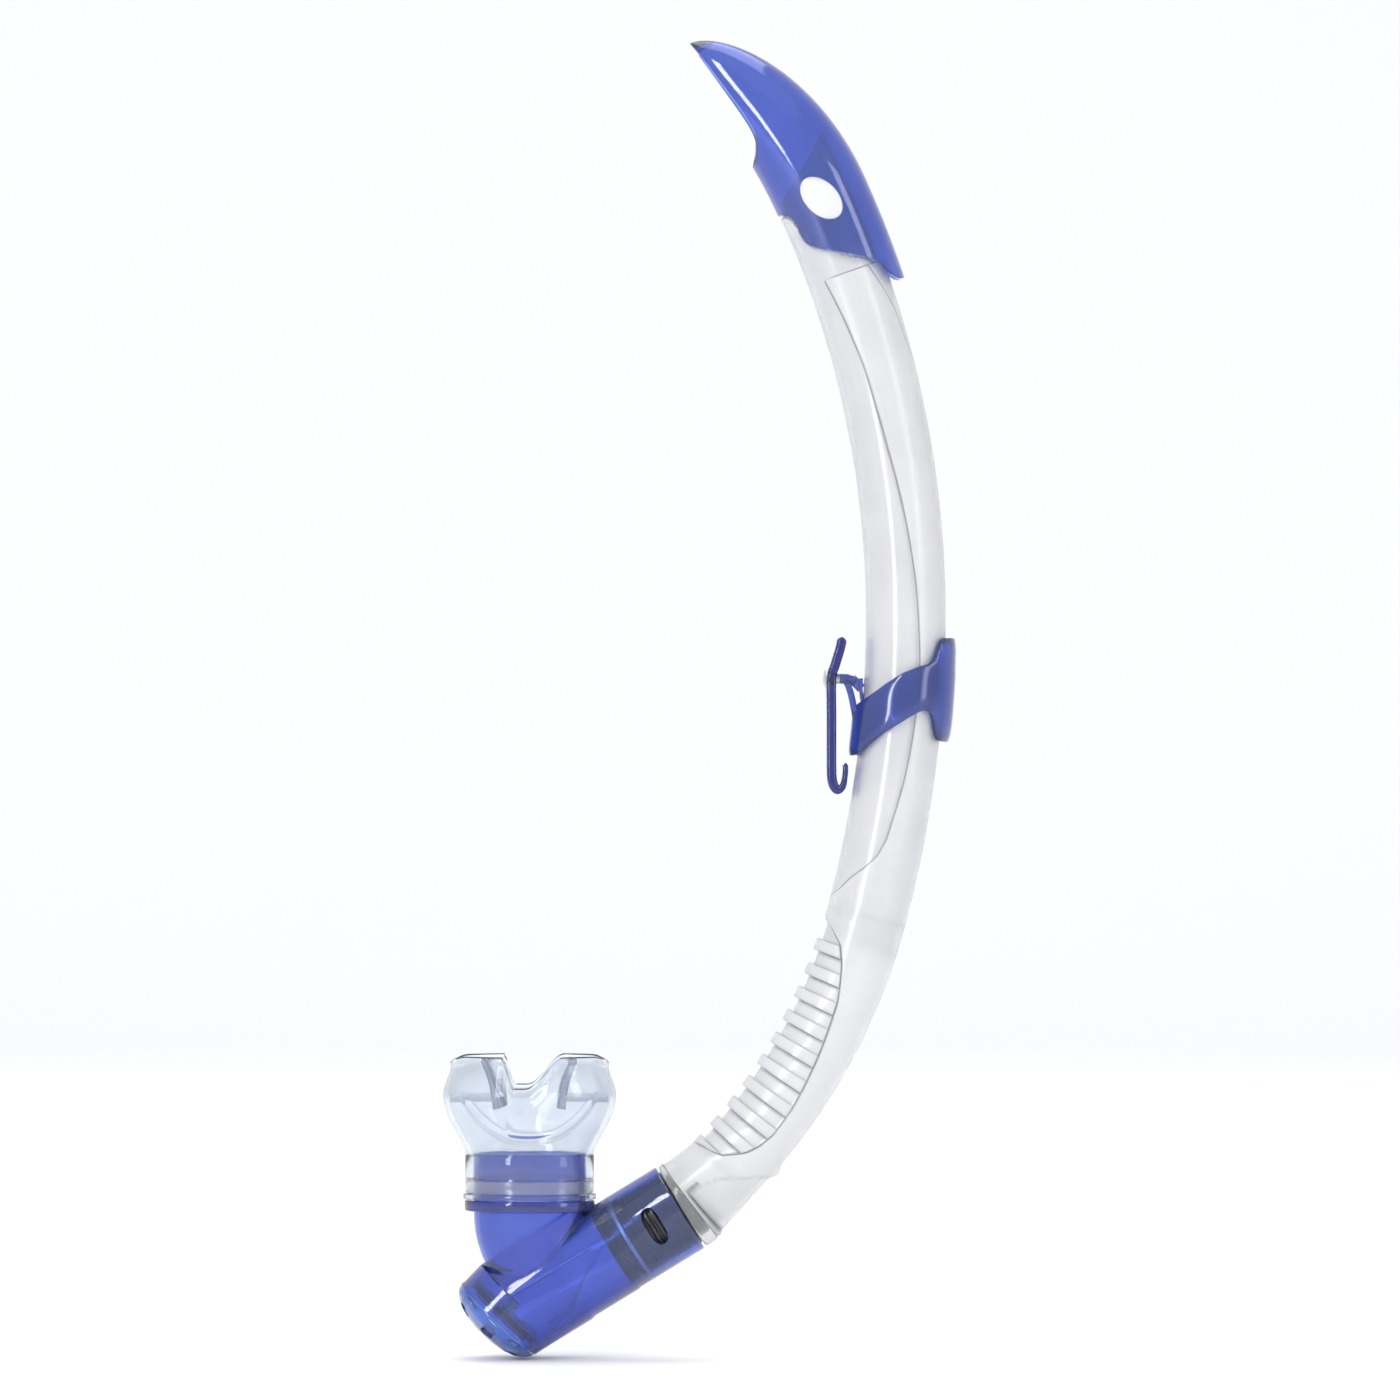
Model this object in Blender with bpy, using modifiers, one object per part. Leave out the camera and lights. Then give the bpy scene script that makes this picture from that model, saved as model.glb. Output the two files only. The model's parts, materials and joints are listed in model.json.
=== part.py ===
"""Semi-dry snorkel: clear barrel, blue splash guard, flexible lower section, swivelling purge chamber,
silicone mouthpiece and a strap keeper. Metres, +Z up, the J of the tube lies in the XZ plane.
"""

import math

import bmesh
import bpy
import numpy as np
from mathutils import Matrix, Vector

# Gaps and facets
GAP = 0.0003
SIDES = 20
TURN_STEPS = 24
STEP = 0.0135
THROUGH = 0.08

# Route of the tube's centreline, from the swivel joint up to the splash guard's tip
NECK_X = -0.00597
NECK_Z = 0.04611
NECK_TILT = math.radians(31.4)
CUFF_BEND_RADIUS = 0.0332
CUFF_BEND = math.radians(12.6)
CUFF_STRAIGHT = 0.0037
FLEX_BEND_RADIUS = 0.18125
FLEX_BEND = math.radians(31.0)
MIDDLE_RADIUS = 0.3631
MIDDLE_BEND = math.radians(15.0)
UPPER_RADIUS = 0.3156
UPPER_BEND = math.radians(36.0)

# Barrel
TUBE_RADIUS = 0.0125
TUBE_WALL = 0.002
TUBE_TOP = 0.3560
TUBE_TOP_SLOPE = 0.0150
SHOULDER_RADIUS = TUBE_RADIUS - 0.0014
NIPPLE_RADIUS = 0.0104
NIPPLE_BORE = 0.0088
NIPPLE_LENGTH = 0.0065

# Soft back panel let into the barrel: how far its edge lies behind the centreline,
# against distance up the tube
PANEL_THICKNESS = 0.0006
PANEL_TOP = 0.3130
PANEL_EDGE = (
    (0.1090, -0.0060),
    (0.1250, -0.0035),
    (0.1400, 0.0008),
    (0.1500, 0.0026),
    (0.1620, 0.0041),
    (0.1930, 0.0044),
    (0.2100, 0.0033),
    (0.2320, 0.0012),
    (0.2620, -0.0026),
    (0.2880, -0.0046),
    (0.3130, -0.0073),
)

# Flexible section
FLEX_LENGTH = 0.0955
FLEX_START = 0.0135
RIB_COUNT = 10
RIB_PITCH = 0.0086
RIB_WIDTH = 0.0040
RIB_FIRST = 0.0187
RIB_CREST = 0.0131
RIB_VALLEY = 0.0104
RIB_EDGE = math.radians(80.0)
RIB_FADE = math.radians(25.0)
FLEX_WALL = 0.0016

# Cuff
CUFF_WAIST_RADIUS = 0.0130
CUFF_LIP = 0.0026
CUFF_WAIST = 0.0110
CUFF_SOCKET_DEPTH = 0.0074

# Swivel spigot and its rings
SPIGOT_BORE = 0.0088
SPIGOT_PLUG_RADIUS = 0.0109
SPIGOT_PLUG_LENGTH = 0.0070
SPIGOT_RADIUS = 0.0127
CUFF_MOUTH_RADIUS = SPIGOT_RADIUS + 0.0019
SPIGOT_LENGTH = 0.0260
RIDGE_DEPTH = 0.0007
RIDGE_PITCH = 0.0022
RIDGE_COUNT = 5
RIDGE_FIRST = 0.0025
SEAL_WIDTH = 0.0018
SEAL_DEPTH = 0.0014
SEAL_PLACES = (0.0155, 0.0235)
SNAP_PLACE = 0.0195
SNAP_WIDTH = 0.0016
SNAP_PROUD = 0.0007
SNAP_OPENING = 0.0060

# Chamber
NECK_WALL = 0.0018
NECK_LENGTH = 0.0240
WAIST_STEP = 0.0003
WAIST_LENGTH = 0.0166
CHAMBER_STEP = 0.0004
CHAMBER_LENGTH = 0.0673
END_TILT = math.radians(15.0)
END_RADIUS = SPIGOT_RADIUS + 0.0030
END_WALL = 0.0021
END_DEPTH = 0.0085
WINDOW_PLACE = 0.0100
WINDOW_LENGTH = 0.0125
WINDOW_WIDTH = 0.0054

# Mouth port, an upright oval tube on the chamber
PORT_REACH = 0.0476
PORT_X = NECK_X - PORT_REACH
PORT_TOP = NECK_Z + 0.0171
PORT_HALF_WIDTH = 0.0175
PORT_HALF_DEPTH = 0.0125
PORT_WALL = 0.0018
FLANGE_LIFT = 0.001486
FLANGE_HEIGHT = 0.0036
FLANGE_OVERHANG = 0.0029

# Purge valve
SEAT_THICKNESS = 0.0018
SEAT_INSET = 0.0022
SEAT_SLOTS = 6
SEAT_HOLE = 0.0016
SEAT_SLOT_WIDTH = 0.0036
SEAT_HUB = 0.0042
SEAT_LAND = 0.0010
VALVE_RADIUS = 0.0108
VALVE_THICKNESS = 0.0010
VALVE_TRAVEL = 0.0015
VALVE_BEAD = 0.0024
BEAD_HEIGHT = 0.0020
COVER_HEIGHT = 0.0066
COVER_WALL = 0.0016
COVER_SLOTS = 6
COVER_SLOT_WIDTH = 0.0045
COVER_SLOT_START = 0.0086
COVER_SLOT_END = 0.0135
COVER_RIM = 0.0008

# Mouthpiece
SLEEVE_WALL = 0.0024
SLEEVE_TOP = NECK_Z + 0.0175
BODY_HALF_WIDTH = 0.0271
BODY_HALF_DEPTH = 0.0195
RIM_HALF_WIDTH = 0.0242
RIM_HALF_DEPTH = 0.0170
RIM_TOP = NECK_Z + 0.0479
NOTCH_BOTTOM = NECK_Z + 0.0369
MOUTH_WALL = 0.0022
TIE_LIFT = 0.0021
TIE_HEIGHT = 0.0045
TIE_THICKNESS = 0.0008
TIE_GROOVE = 0.0012
TIE_HEAD_WIDTH = 0.0060
TIE_HEAD_DEPTH = 0.0032
BITE_TAB = (0.0030, 0.0200, 0.0120)
BITE_TAB_INSET = 0.0078
BITE_TAB_TOP = NECK_Z + 0.0462

# Splash guard
GUARD_WALL = 0.0015
GUARD_BACK = TUBE_RADIUS + 0.0044
GUARD_FRONT = TUBE_RADIUS + 0.0005
GUARD_HALF_WIDTH = TUBE_RADIUS + 0.0017
GUARD_SPREAD = TUBE_RADIUS / 0.0125
GUARD_SHOULDER = 0.3390
GUARD_TIP = 0.4013
GUARD_TIP_OFFSET = -0.0096
GUARD_FOOT = (
    (0.3387, -0.0140),
    (0.3385, -0.0130),
    (0.3366, -0.0104),
    (0.3330, -0.0092),
    (0.3247, -0.0074),
    (0.3148, 0.0085),
    (0.3104, 0.0115),
    (0.3066, 0.0145),
    (0.3064, 0.0190),
)
INTAKE = ((0.4030, -0.0098), (0.3677, -0.0079), (0.3572, -0.0128), (0.3550, -0.0150))
BUTTON_PLACE = 0.3374
BUTTON_OFFSET = 0.0012
BUTTON_HALF_LENGTH = 0.0078
BUTTON_HALF_WIDTH = 0.0050
BUTTON_TURN = math.radians(135.0)
BUTTON_PROUD = 0.0006

# Keeper
KEEPER_PLACE = 0.1765
KEEPER_WALL = 0.0027
KEEPER_HEIGHT = 0.0160
KEEPER_SLANT = math.radians(30.0)
TAIL_START = 0.1662
TAIL_END = 0.1976
TAIL_HALF_ANGLE = math.radians(32.0)
GRIP_RIDGES = 3
GRIP_PITCH = 0.0037
GRIP_HEIGHT = 0.0008
GRIP_HALF_WIDTH = 0.0010
GRIP_LENGTH = 0.0120
HOOK_HALF_WIDTH = 0.0070
PLATE_THICKNESS = 0.0030
PLATE_GAP = 0.0046
FACE_DROP = 0.0085
PIVOT_HEIGHT = 0.0080
PIVOT_RADIUS = 0.0016
PIVOT_HEAD = 0.0030
BOSS_RADIUS = 0.0030
BOSS_STAND_OFF = 0.0012
ARM_HALF_WIDTH = 0.0048
ARM_THICKNESS = 0.0034
ARM_LENGTH = 0.0100
PIN_LENGTH = 0.0092
HOOK_ABOVE = 0.0134
HOOK_LEAN = 0.0034
HOOK_BEND = 0.0028
HOOK_EASE = 0.0002
SEAT_TOP = 0.0048
HOOK_BELOW = 0.0365
HOOK_TIP_BELOW = 0.0255
HOOK_TIP_THICKNESS = 0.0016

COLOURS = {
    "clear": ((0.86, 0.87, 0.88, 1.0), 0.12),
    "clear_silicone": ((0.84, 0.86, 0.88, 1.0), 0.35),
    "blue": ((0.05, 0.08, 0.42, 1.0), 0.12),
    "light_blue": ((0.10, 0.22, 0.55, 1.0), 0.15),
    "dark_blue": ((0.02, 0.03, 0.20, 1.0), 0.25),
    "black": ((0.01, 0.01, 0.015, 1.0), 0.35),
    "steel": ((0.62, 0.62, 0.64, 1.0), 0.25),
}


def clear_scene():
    for obj in list(bpy.data.objects):
        bpy.data.objects.remove(obj, do_unlink=True)


def collection(name, hidden=False):
    made = bpy.data.collections.new(name)
    bpy.context.scene.collection.children.link(made)
    made.hide_render = hidden
    return made


def material(finish):
    name = "snorkel_" + finish
    found = bpy.data.materials.get(name)
    if found:
        return found
    made = bpy.data.materials.new(name)
    made.use_nodes = True
    shader = made.node_tree.nodes["Principled BSDF"]
    colour, roughness = COLOURS[finish]
    shader.inputs["Base Color"].default_value = colour
    shader.inputs["Roughness"].default_value = roughness
    shader.inputs["Metallic"].default_value = 1.0 if finish == "steel" else 0.0
    return made


def add_object(name, mesh, finish=None):
    """Links a mesh as a part with its finish, or as a hidden cutter when it has none."""
    obj = bpy.data.objects.new(name, mesh)
    if finish:
        PARTS.objects.link(obj)
        mesh.materials.clear()
        mesh.materials.append(material(finish))
        mesh.shade_smooth()
        mesh.set_sharp_from_angle(angle=math.radians(35.0))
    else:
        CUTTERS.objects.link(obj)
        obj.hide_render = True
        obj.display_type = "WIRE"
    return obj


def finish_bmesh(name, shape, finish):
    bmesh.ops.recalc_face_normals(shape, faces=shape.faces)
    mesh = bpy.data.meshes.new(name)
    shape.to_mesh(mesh)
    shape.free()
    return add_object(name, mesh, finish)


def boolean(obj, other, operation="DIFFERENCE"):
    modifier = obj.modifiers.new(other.name, "BOOLEAN")
    modifier.operation = operation
    modifier.solver = "EXACT"
    modifier.object = other


class Route:
    """A chain of straight runs and arcs in the XZ plane, walked by distance from its lower end."""

    def __init__(self, x, z, heading):
        self.runs = []
        self.end = (0.0, np.array([x, z]), heading)

    def add(self, length, bend=0.0):
        distance, start, heading = self.end
        self.runs.append((distance, start, heading, length, bend / length))
        self.end = (distance + length, *self.walk(distance + length))
        return self

    def arc(self, radius, bend):
        return self.add(radius * bend, bend)

    def walk(self, distance):
        """Point and heading at a distance."""
        begun, start, heading, _, curvature = [run for run in self.runs if run[0] <= distance + 1e-9][-1]
        gone = distance - begun
        if not curvature:
            return start + gone * np.array([math.cos(heading), math.sin(heading)]), heading
        turned = heading + curvature * gone
        step = np.array([math.sin(turned) - math.sin(heading), math.cos(heading) - math.cos(turned)])
        return start + step / curvature, turned

    def place(self, distance, offset=0.0, y=0.0):
        """World point beside the route: offset is positive towards the outside of the J."""
        point, heading = self.walk(distance)
        return Vector((point[0] + offset * math.sin(heading), y, point[1] - offset * math.cos(heading)))

    def turned_frame(self, distance):
        """World matrix whose Z runs up the route and whose X points to the outside of the J."""
        point, heading = self.walk(distance)
        tangent = Vector((math.cos(heading), 0.0, math.sin(heading)))
        outward = Vector((math.sin(heading), 0.0, -math.cos(heading)))
        across = tangent.cross(outward)
        turn = Matrix((outward, across, tangent)).transposed().to_4x4()
        return Matrix.Translation((point[0], 0.0, point[1])) @ turn


def stations(start, end, step=STEP):
    """Distances from start to end, with a short first and last run so that the ends are square."""
    inner = np.linspace(start, end, max(3, round((end - start) / step) + 1))
    return np.concatenate([[start, start + GAP], inner[1:-1], [end - GAP, end]])


def pipe(name, start, end, radius, finish=None):
    """A round bar along the route, made from a bevelled curve."""
    data = bpy.data.curves.new(name, "CURVE")
    data.dimensions = "3D"
    data.bevel_depth = radius
    data.bevel_resolution = SIDES // 2 - 2
    data.use_fill_caps = True
    places = stations(start, end)
    spline = data.splines.new("POLY")
    spline.points.add(len(places) - 1)
    for point, distance in zip(spline.points, places):
        point.co = (*ROUTE.place(distance), 1.0)
    guide = bpy.data.objects.new(name + "_guide", data)
    CUTTERS.objects.link(guide)
    bpy.context.view_layer.update()
    evaluated = guide.evaluated_get(bpy.context.evaluated_depsgraph_get())
    mesh = bpy.data.meshes.new_from_object(evaluated)
    bpy.data.objects.remove(guide, do_unlink=True)
    shape = bmesh.new()
    shape.from_mesh(mesh)
    bmesh.ops.remove_doubles(shape, verts=shape.verts, dist=1e-6)
    return finish_bmesh(name, shape, finish)


def skin(name, rings, finish=None, ring_shaped=False):
    """Joins equal rings of points into one closed skin, capped at its ends or closed on itself."""
    shape = bmesh.new()
    loops = [[shape.verts.new(point) for point in ring] for ring in rings]
    pairs = list(zip(loops, loops[1:]))
    if ring_shaped:
        pairs.append((loops[-1], loops[0]))
    for low, high in pairs:
        for k in range(len(low)):
            shape.faces.new((low[k - 1], low[k], high[k], high[k - 1]))
    if not ring_shaped:
        shape.faces.new(loops[0])
        shape.faces.new(loops[-1])
    return finish_bmesh(name, shape, finish)


def route_ring(distance, radius_of, count=SIDES):
    """A ring of points round the route. Angle 0 is the outside of the J."""
    frame = ROUTE.turned_frame(distance)
    angles = [2 * math.pi * k / count for k in range(count)]
    return [frame @ Vector((radius_of(a) * math.cos(a), radius_of(a) * math.sin(a), 0.0)) for a in angles]


def oval_ring(centre_x, z_of, half_width, half_depth, count=SIDES):
    """An upright oval ring; z_of gives its height at each angle."""
    angles = [2 * math.pi * k / count for k in range(count)]
    return [
        Vector((centre_x + half_width * math.cos(a), half_depth * math.sin(a), z_of(a))) for a in angles
    ]


def turned(name, profile, frame, finish=None, steps=TURN_STEPS):
    """A profile of (radius, height) turned about the frame's Z. It runs down its outer side."""
    mesh = bpy.data.meshes.new(name)
    points = [(radius, 0.0, height) for radius, height in profile]
    closed = min(radius for radius, _ in profile) > 0
    edges = [(k, k + 1) for k in range(len(points) - 1)]
    mesh.from_pydata(points, edges + [(len(points) - 1, 0)] * closed, [])
    obj = add_object(name, mesh, finish)
    obj.matrix_world = frame
    screw = obj.modifiers.new("turn", "SCREW")
    screw.steps = screw.render_steps = steps
    screw.use_merge_vertices = True
    screw.merge_threshold = 1e-5
    screw.use_smooth_shade = True
    return obj


def rod(name, half_width, half_depth, low, high, frame, finish=None, sides=TURN_STEPS):
    """An oval rod along the frame's Z."""
    shape = bmesh.new()
    bmesh.ops.create_cone(
        shape, cap_ends=True, segments=sides, radius1=1.0, radius2=1.0, depth=high - low
    )
    middle = Matrix.Translation((0.0, 0.0, (low + high) / 2))
    bmesh.ops.transform(
        shape, verts=shape.verts, matrix=middle @ Matrix.Diagonal((half_width, half_depth, 1.0, 1.0))
    )
    obj = finish_bmesh(name, shape, finish)
    obj.matrix_world = frame
    return obj


def box(name, low, high, frame=None, finish=None):
    shape = bmesh.new()
    bmesh.ops.create_cube(shape, size=1.0)
    low, high = Vector(low), Vector(high)
    size = high - low
    bmesh.ops.transform(
        shape, verts=shape.verts, matrix=Matrix.Translation((low + high) / 2) @ Matrix.Diagonal((*size, 1.0))
    )
    obj = finish_bmesh(name, shape, finish)
    obj.matrix_world = frame or Matrix()
    return obj


def prism(name, outline, half_width, finish=None):
    """An outline of world points in the XZ plane, widened to both sides along Y."""
    shape = bmesh.new()
    near = [shape.verts.new((p.x, -half_width, p.z)) for p in outline]
    face = shape.faces.new(near)
    grown = bmesh.ops.extrude_face_region(shape, geom=[face])
    moved = [part for part in grown["geom"] if isinstance(part, bmesh.types.BMVert)]
    bmesh.ops.translate(shape, verts=moved, vec=(0.0, 2 * half_width, 0.0))
    return finish_bmesh(name, shape, finish)


def axis_frame(origin, direction):
    """World matrix with its Z along a direction in the XZ plane and its Y along world Y."""
    z_axis = Vector(direction).normalized()
    y_axis = Vector((0.0, 1.0, 0.0))
    x_axis = y_axis.cross(z_axis)
    return Matrix.Translation(origin) @ Matrix((x_axis, y_axis, z_axis)).transposed().to_4x4()


def blend(low, high, value):
    """Smooth step from 0 at low to 1 at high."""
    t = min(1.0, max(0.0, (value - low) / (high - low)))
    return t * t * (3 - 2 * t)


# The barrel and its panel


def panel_angle(distance):
    """Angle from the outside of the J to the panel's edge."""
    places, offsets = zip(*PANEL_EDGE)
    return math.acos(float(np.interp(distance, places, offsets)) / TUBE_RADIUS)


def panel_band(name, grow, inner, outer, finish=None):
    """The curved strip of the panel; grow widens it all round for its recess."""
    places = stations(FLEX_TOP + 2 * GAP, PANEL_TOP)
    edges = [panel_angle(distance) + 2.5 * grow / TUBE_RADIUS for distance in places]
    places[0] -= grow
    places[-1] += grow
    rings = []
    for distance, edge in zip(places, edges):
        frame = ROUTE.turned_frame(distance)
        angles = np.linspace(-edge, edge, SIDES * 2 // 3)
        outside = [frame @ Vector((outer * math.cos(a), outer * math.sin(a), 0.0)) for a in angles]
        inside = [frame @ Vector((inner * math.cos(a), inner * math.sin(a), 0.0)) for a in angles[::-1]]
        rings.append(outside + inside)
    return skin(name, rings, finish)


def guard_foot(drop):
    """Points of the guard's lower edge, moved down the tube by drop."""
    return [ROUTE.place(distance - drop, offset * GUARD_SPREAD) for distance, offset in GUARD_FOOT]


def make_barrel():
    barrel = pipe("barrel", FLEX_TOP + GAP, GUARD_SHOULDER, TUBE_RADIUS, "clear")
    above_foot = guard_foot(GAP) + [
        ROUTE.place(GUARD_TIP, 2 * GUARD_BACK),
        ROUTE.place(GUARD_TIP, -2 * GUARD_BACK),
    ]
    boolean(barrel, prism("guard_seat_cut", above_foot, THROUGH))
    core = pipe("barrel_core", FLEX_TOP + GAP, GUARD_TIP - 0.03, SHOULDER_RADIUS)
    boolean(barrel, core, "UNION")
    nipple = pipe("barrel_nipple", FLEX_TOP - NIPPLE_LENGTH, FLEX_TOP + 0.004, NIPPLE_RADIUS)
    boolean(barrel, nipple, "UNION")
    boolean(barrel, pipe("barrel_bore", FLEX_TOP + 0.006, GUARD_TIP, TUBE_RADIUS - TUBE_WALL))
    boolean(barrel, pipe("nipple_bore", FLEX_TOP - 0.012, FLEX_TOP + 0.01, NIPPLE_BORE))
    recess_floor = TUBE_RADIUS - PANEL_THICKNESS - GAP
    boolean(barrel, panel_band("panel_recess", GAP, recess_floor, TUBE_RADIUS + 0.002))
    slope = [
        ROUTE.place(TUBE_TOP, SHOULDER_RADIUS),
        ROUTE.place(TUBE_TOP - TUBE_TOP_SLOPE, -SHOULDER_RADIUS),
        ROUTE.place(TUBE_TOP - TUBE_TOP_SLOPE, -2 * GUARD_BACK),
        ROUTE.place(GUARD_TIP, -2 * GUARD_BACK),
        ROUTE.place(GUARD_TIP, 2 * GUARD_BACK),
        ROUTE.place(TUBE_TOP, 2 * GUARD_BACK),
    ]
    boolean(barrel, prism("barrel_top_cut", slope, THROUGH))


def make_back_panel():
    panel_band("back_panel", 0.0, TUBE_RADIUS - PANEL_THICKNESS, TUBE_RADIUS, "clear")


# The splash guard


def guard_oval(distance, inset):
    """Offset of the guard's middle from the centreline, and its two half sizes."""
    t = max(0.0, (distance - GUARD_SHOULDER) / (GUARD_TIP - GUARD_SHOULDER))
    back = GUARD_TIP_OFFSET + (GUARD_BACK - GUARD_TIP_OFFSET) * (1 - t * t) ** 0.66
    start = (GUARD_BACK - GUARD_FRONT) / 2
    middle = start + (GUARD_TIP_OFFSET - start) * t * t
    return middle, back - middle - inset, GUARD_HALF_WIDTH * (1 - t**2.2) ** 0.6 - inset


def guard_horn(name, start, reach, inset, finish=None):
    """The guard's outside, or its inside when inset, as a horn along the route."""
    low = np.linspace(start, GUARD_SHOULDER, 5)
    high = GUARD_SHOULDER + (GUARD_TIP - GUARD_SHOULDER) * np.sin(np.linspace(0, math.pi / 2, 12)) * reach
    rings = []
    for distance in np.concatenate([low, high[1:]]):
        frame = ROUTE.turned_frame(distance)
        middle, depth, width = guard_oval(distance, inset)
        angles = [2 * math.pi * k / SIDES for k in range(SIDES)]
        rings.append(
            [frame @ Vector((middle + depth * math.cos(a), width * math.sin(a), 0.0)) for a in angles]
        )
    return skin(name, rings, finish)


def button_frame():
    centre = ROUTE.place(BUTTON_PLACE, BUTTON_OFFSET)
    long_axis = Vector((math.cos(BUTTON_TURN), 0.0, math.sin(BUTTON_TURN)))
    y_axis = Vector((0.0, 1.0, 0.0))
    turn = Matrix((long_axis, y_axis.cross(long_axis), y_axis)).transposed().to_4x4()
    return Matrix.Translation(centre) @ turn


def make_guard():
    start = GUARD_FOOT[-1][0] - 0.012
    guard = guard_horn("splash_guard", start, 0.995, 0.0, "blue")
    boolean(guard, guard_horn("guard_hollow", start - 0.004, 0.955, GUARD_WALL))
    below_foot = guard_foot(0.0) + [
        ROUTE.place(start - 0.02, 0.04),
        ROUTE.place(start - 0.02, -0.04),
        ROUTE.place(GUARD_FOOT[0][0], -0.04),
    ]
    boolean(guard, prism("guard_foot_cut", below_foot, THROUGH))
    opening = [ROUTE.place(distance, offset * GUARD_SPREAD) for distance, offset in INTAKE] + [
        ROUTE.place(INTAKE[-1][0], -0.05),
        ROUTE.place(INTAKE[0][0], -0.05),
    ]
    boolean(guard, prism("intake_cut", opening, THROUGH))
    hole = rod(
        "button_hole",
        BUTTON_HALF_LENGTH + GAP,
        BUTTON_HALF_WIDTH + GAP,
        -THROUGH,
        THROUGH,
        button_frame(),
    )
    boolean(guard, hole)


def make_buttons():
    """Oval snap lugs, one on each side of the barrel, that hold the guard by its oval holes."""
    reach = GUARD_HALF_WIDTH + BUTTON_PROUD
    for name, side in (("snap_button_near", -1), ("snap_button_far", 1)):
        low, high = sorted((side * (SHOULDER_RADIUS + GAP), side * reach))
        button = rod(name, BUTTON_HALF_LENGTH, BUTTON_HALF_WIDTH, low, high, button_frame(), "clear")
        edge = button.modifiers.new("edge", "BEVEL")
        edge.width = BUTTON_PROUD
        edge.segments = 2
        edge.limit_method = "ANGLE"


# The flexible section and its cuff


def flex_side_radius(distance):
    """Radius of the corrugated side: crests and valleys between the first and the last rib."""
    ribs = [RIB_FIRST + k * RIB_PITCH for k in range(RIB_COUNT)]
    half = RIB_WIDTH / 2 + GAP
    if distance < ribs[0] - half or distance > ribs[-1] + half:
        return TUBE_RADIUS
    on_crest = any(abs(distance - middle) <= half for middle in ribs)
    return RIB_CREST if on_crest else RIB_VALLEY


def flex_radius(distance, angle):
    """Outer radius: smooth at the back of the J, corrugated on its inside."""
    round_from_back = abs(math.atan2(math.sin(angle), math.cos(angle)))
    corrugated = blend(RIB_EDGE - RIB_FADE, RIB_EDGE + RIB_FADE, round_from_back)
    return TUBE_RADIUS + (flex_side_radius(distance) - TUBE_RADIUS) * corrugated


def make_flex():
    places = [FLEX_START, FLEX_START + 2 * GAP]
    for k in range(RIB_COUNT):
        middle = RIB_FIRST + k * RIB_PITCH
        half = RIB_WIDTH / 2
        places += [middle - half - 2 * GAP, middle - half, middle + half, middle + half + 2 * GAP]
    places += [FLEX_TOP - NIPPLE_LENGTH / 2, FLEX_TOP]
    outer = [route_ring(d, lambda a, d=d: flex_radius(d, a)) for d in places]
    inner = []
    for d in reversed(places):
        over_nipple = d < FLEX_START + NIPPLE_LENGTH + GAP or d > FLEX_TOP - NIPPLE_LENGTH - GAP
        if over_nipple:
            inner.append(route_ring(d, lambda a: NIPPLE_RADIUS + GAP))
        else:
            inner.append(route_ring(d, lambda a, d=d: flex_radius(d, a) - FLEX_WALL))
    skin("flex_section", outer + inner, "clear_silicone", ring_shaped=True)


def cuff_radius(distance):
    if distance <= CUFF_LIP:
        return CUFF_MOUTH_RADIUS
    narrowed = CUFF_MOUTH_RADIUS - GAP
    t = blend(0.0, CUFF_WAIST, distance - CUFF_LIP)
    return narrowed + (CUFF_WAIST_RADIUS - narrowed) * t


def make_cuff():
    top = FLEX_START - GAP
    places = [0.0, CUFF_LIP, CUFF_LIP + GAP, *np.linspace(CUFF_LIP + 0.002, top, 5)]
    cuff = skin("flex_cuff", [route_ring(d, lambda a, d=d: cuff_radius(d)) for d in places], "clear")
    boolean(cuff, pipe("cuff_nipple", top - 0.004, FLEX_START + NIPPLE_LENGTH, NIPPLE_RADIUS), "UNION")
    boolean(cuff, pipe("cuff_bore", CUFF_SOCKET_DEPTH - 0.003, FLEX_START + 0.012, NIPPLE_BORE))
    socket = SPIGOT_PLUG_RADIUS + GAP
    boolean(cuff, rod("cuff_socket", socket, socket, -0.002, CUFF_SOCKET_DEPTH, NECK_FRAME))


# The swivel


def spigot_profile():
    profile = [(SPIGOT_BORE, SPIGOT_PLUG_LENGTH), (SPIGOT_PLUG_RADIUS, SPIGOT_PLUG_LENGTH)]
    profile += [(SPIGOT_PLUG_RADIUS, -GAP), (SPIGOT_RADIUS, -GAP)]
    for k in range(RIDGE_COUNT):
        top = -RIDGE_FIRST - k * RIDGE_PITCH
        floor = SPIGOT_RADIUS - RIDGE_DEPTH
        profile += [(SPIGOT_RADIUS, top), (floor, top - GAP)]
        profile += [(floor, top - RIDGE_PITCH / 2), (SPIGOT_RADIUS, top - RIDGE_PITCH / 2 - GAP)]
    grooves = [(place, SEAL_WIDTH) for place in SEAL_PLACES] + [(SNAP_PLACE, SNAP_WIDTH)]
    for place, width in sorted(grooves):
        floor = SPIGOT_RADIUS - SEAL_DEPTH
        high, low = -place + width / 2 + GAP, -place - width / 2 - GAP
        profile += [(SPIGOT_RADIUS, high), (floor, high), (floor, low), (SPIGOT_RADIUS, low)]
    profile += [(SPIGOT_RADIUS, -SPIGOT_LENGTH), (SPIGOT_BORE, -SPIGOT_LENGTH)]
    return profile


def ring_profile(inner, outer, place, width):
    high, low = -place + width / 2, -place - width / 2
    return [(inner, high), (outer, high), (outer, low), (inner, low)]


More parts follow.
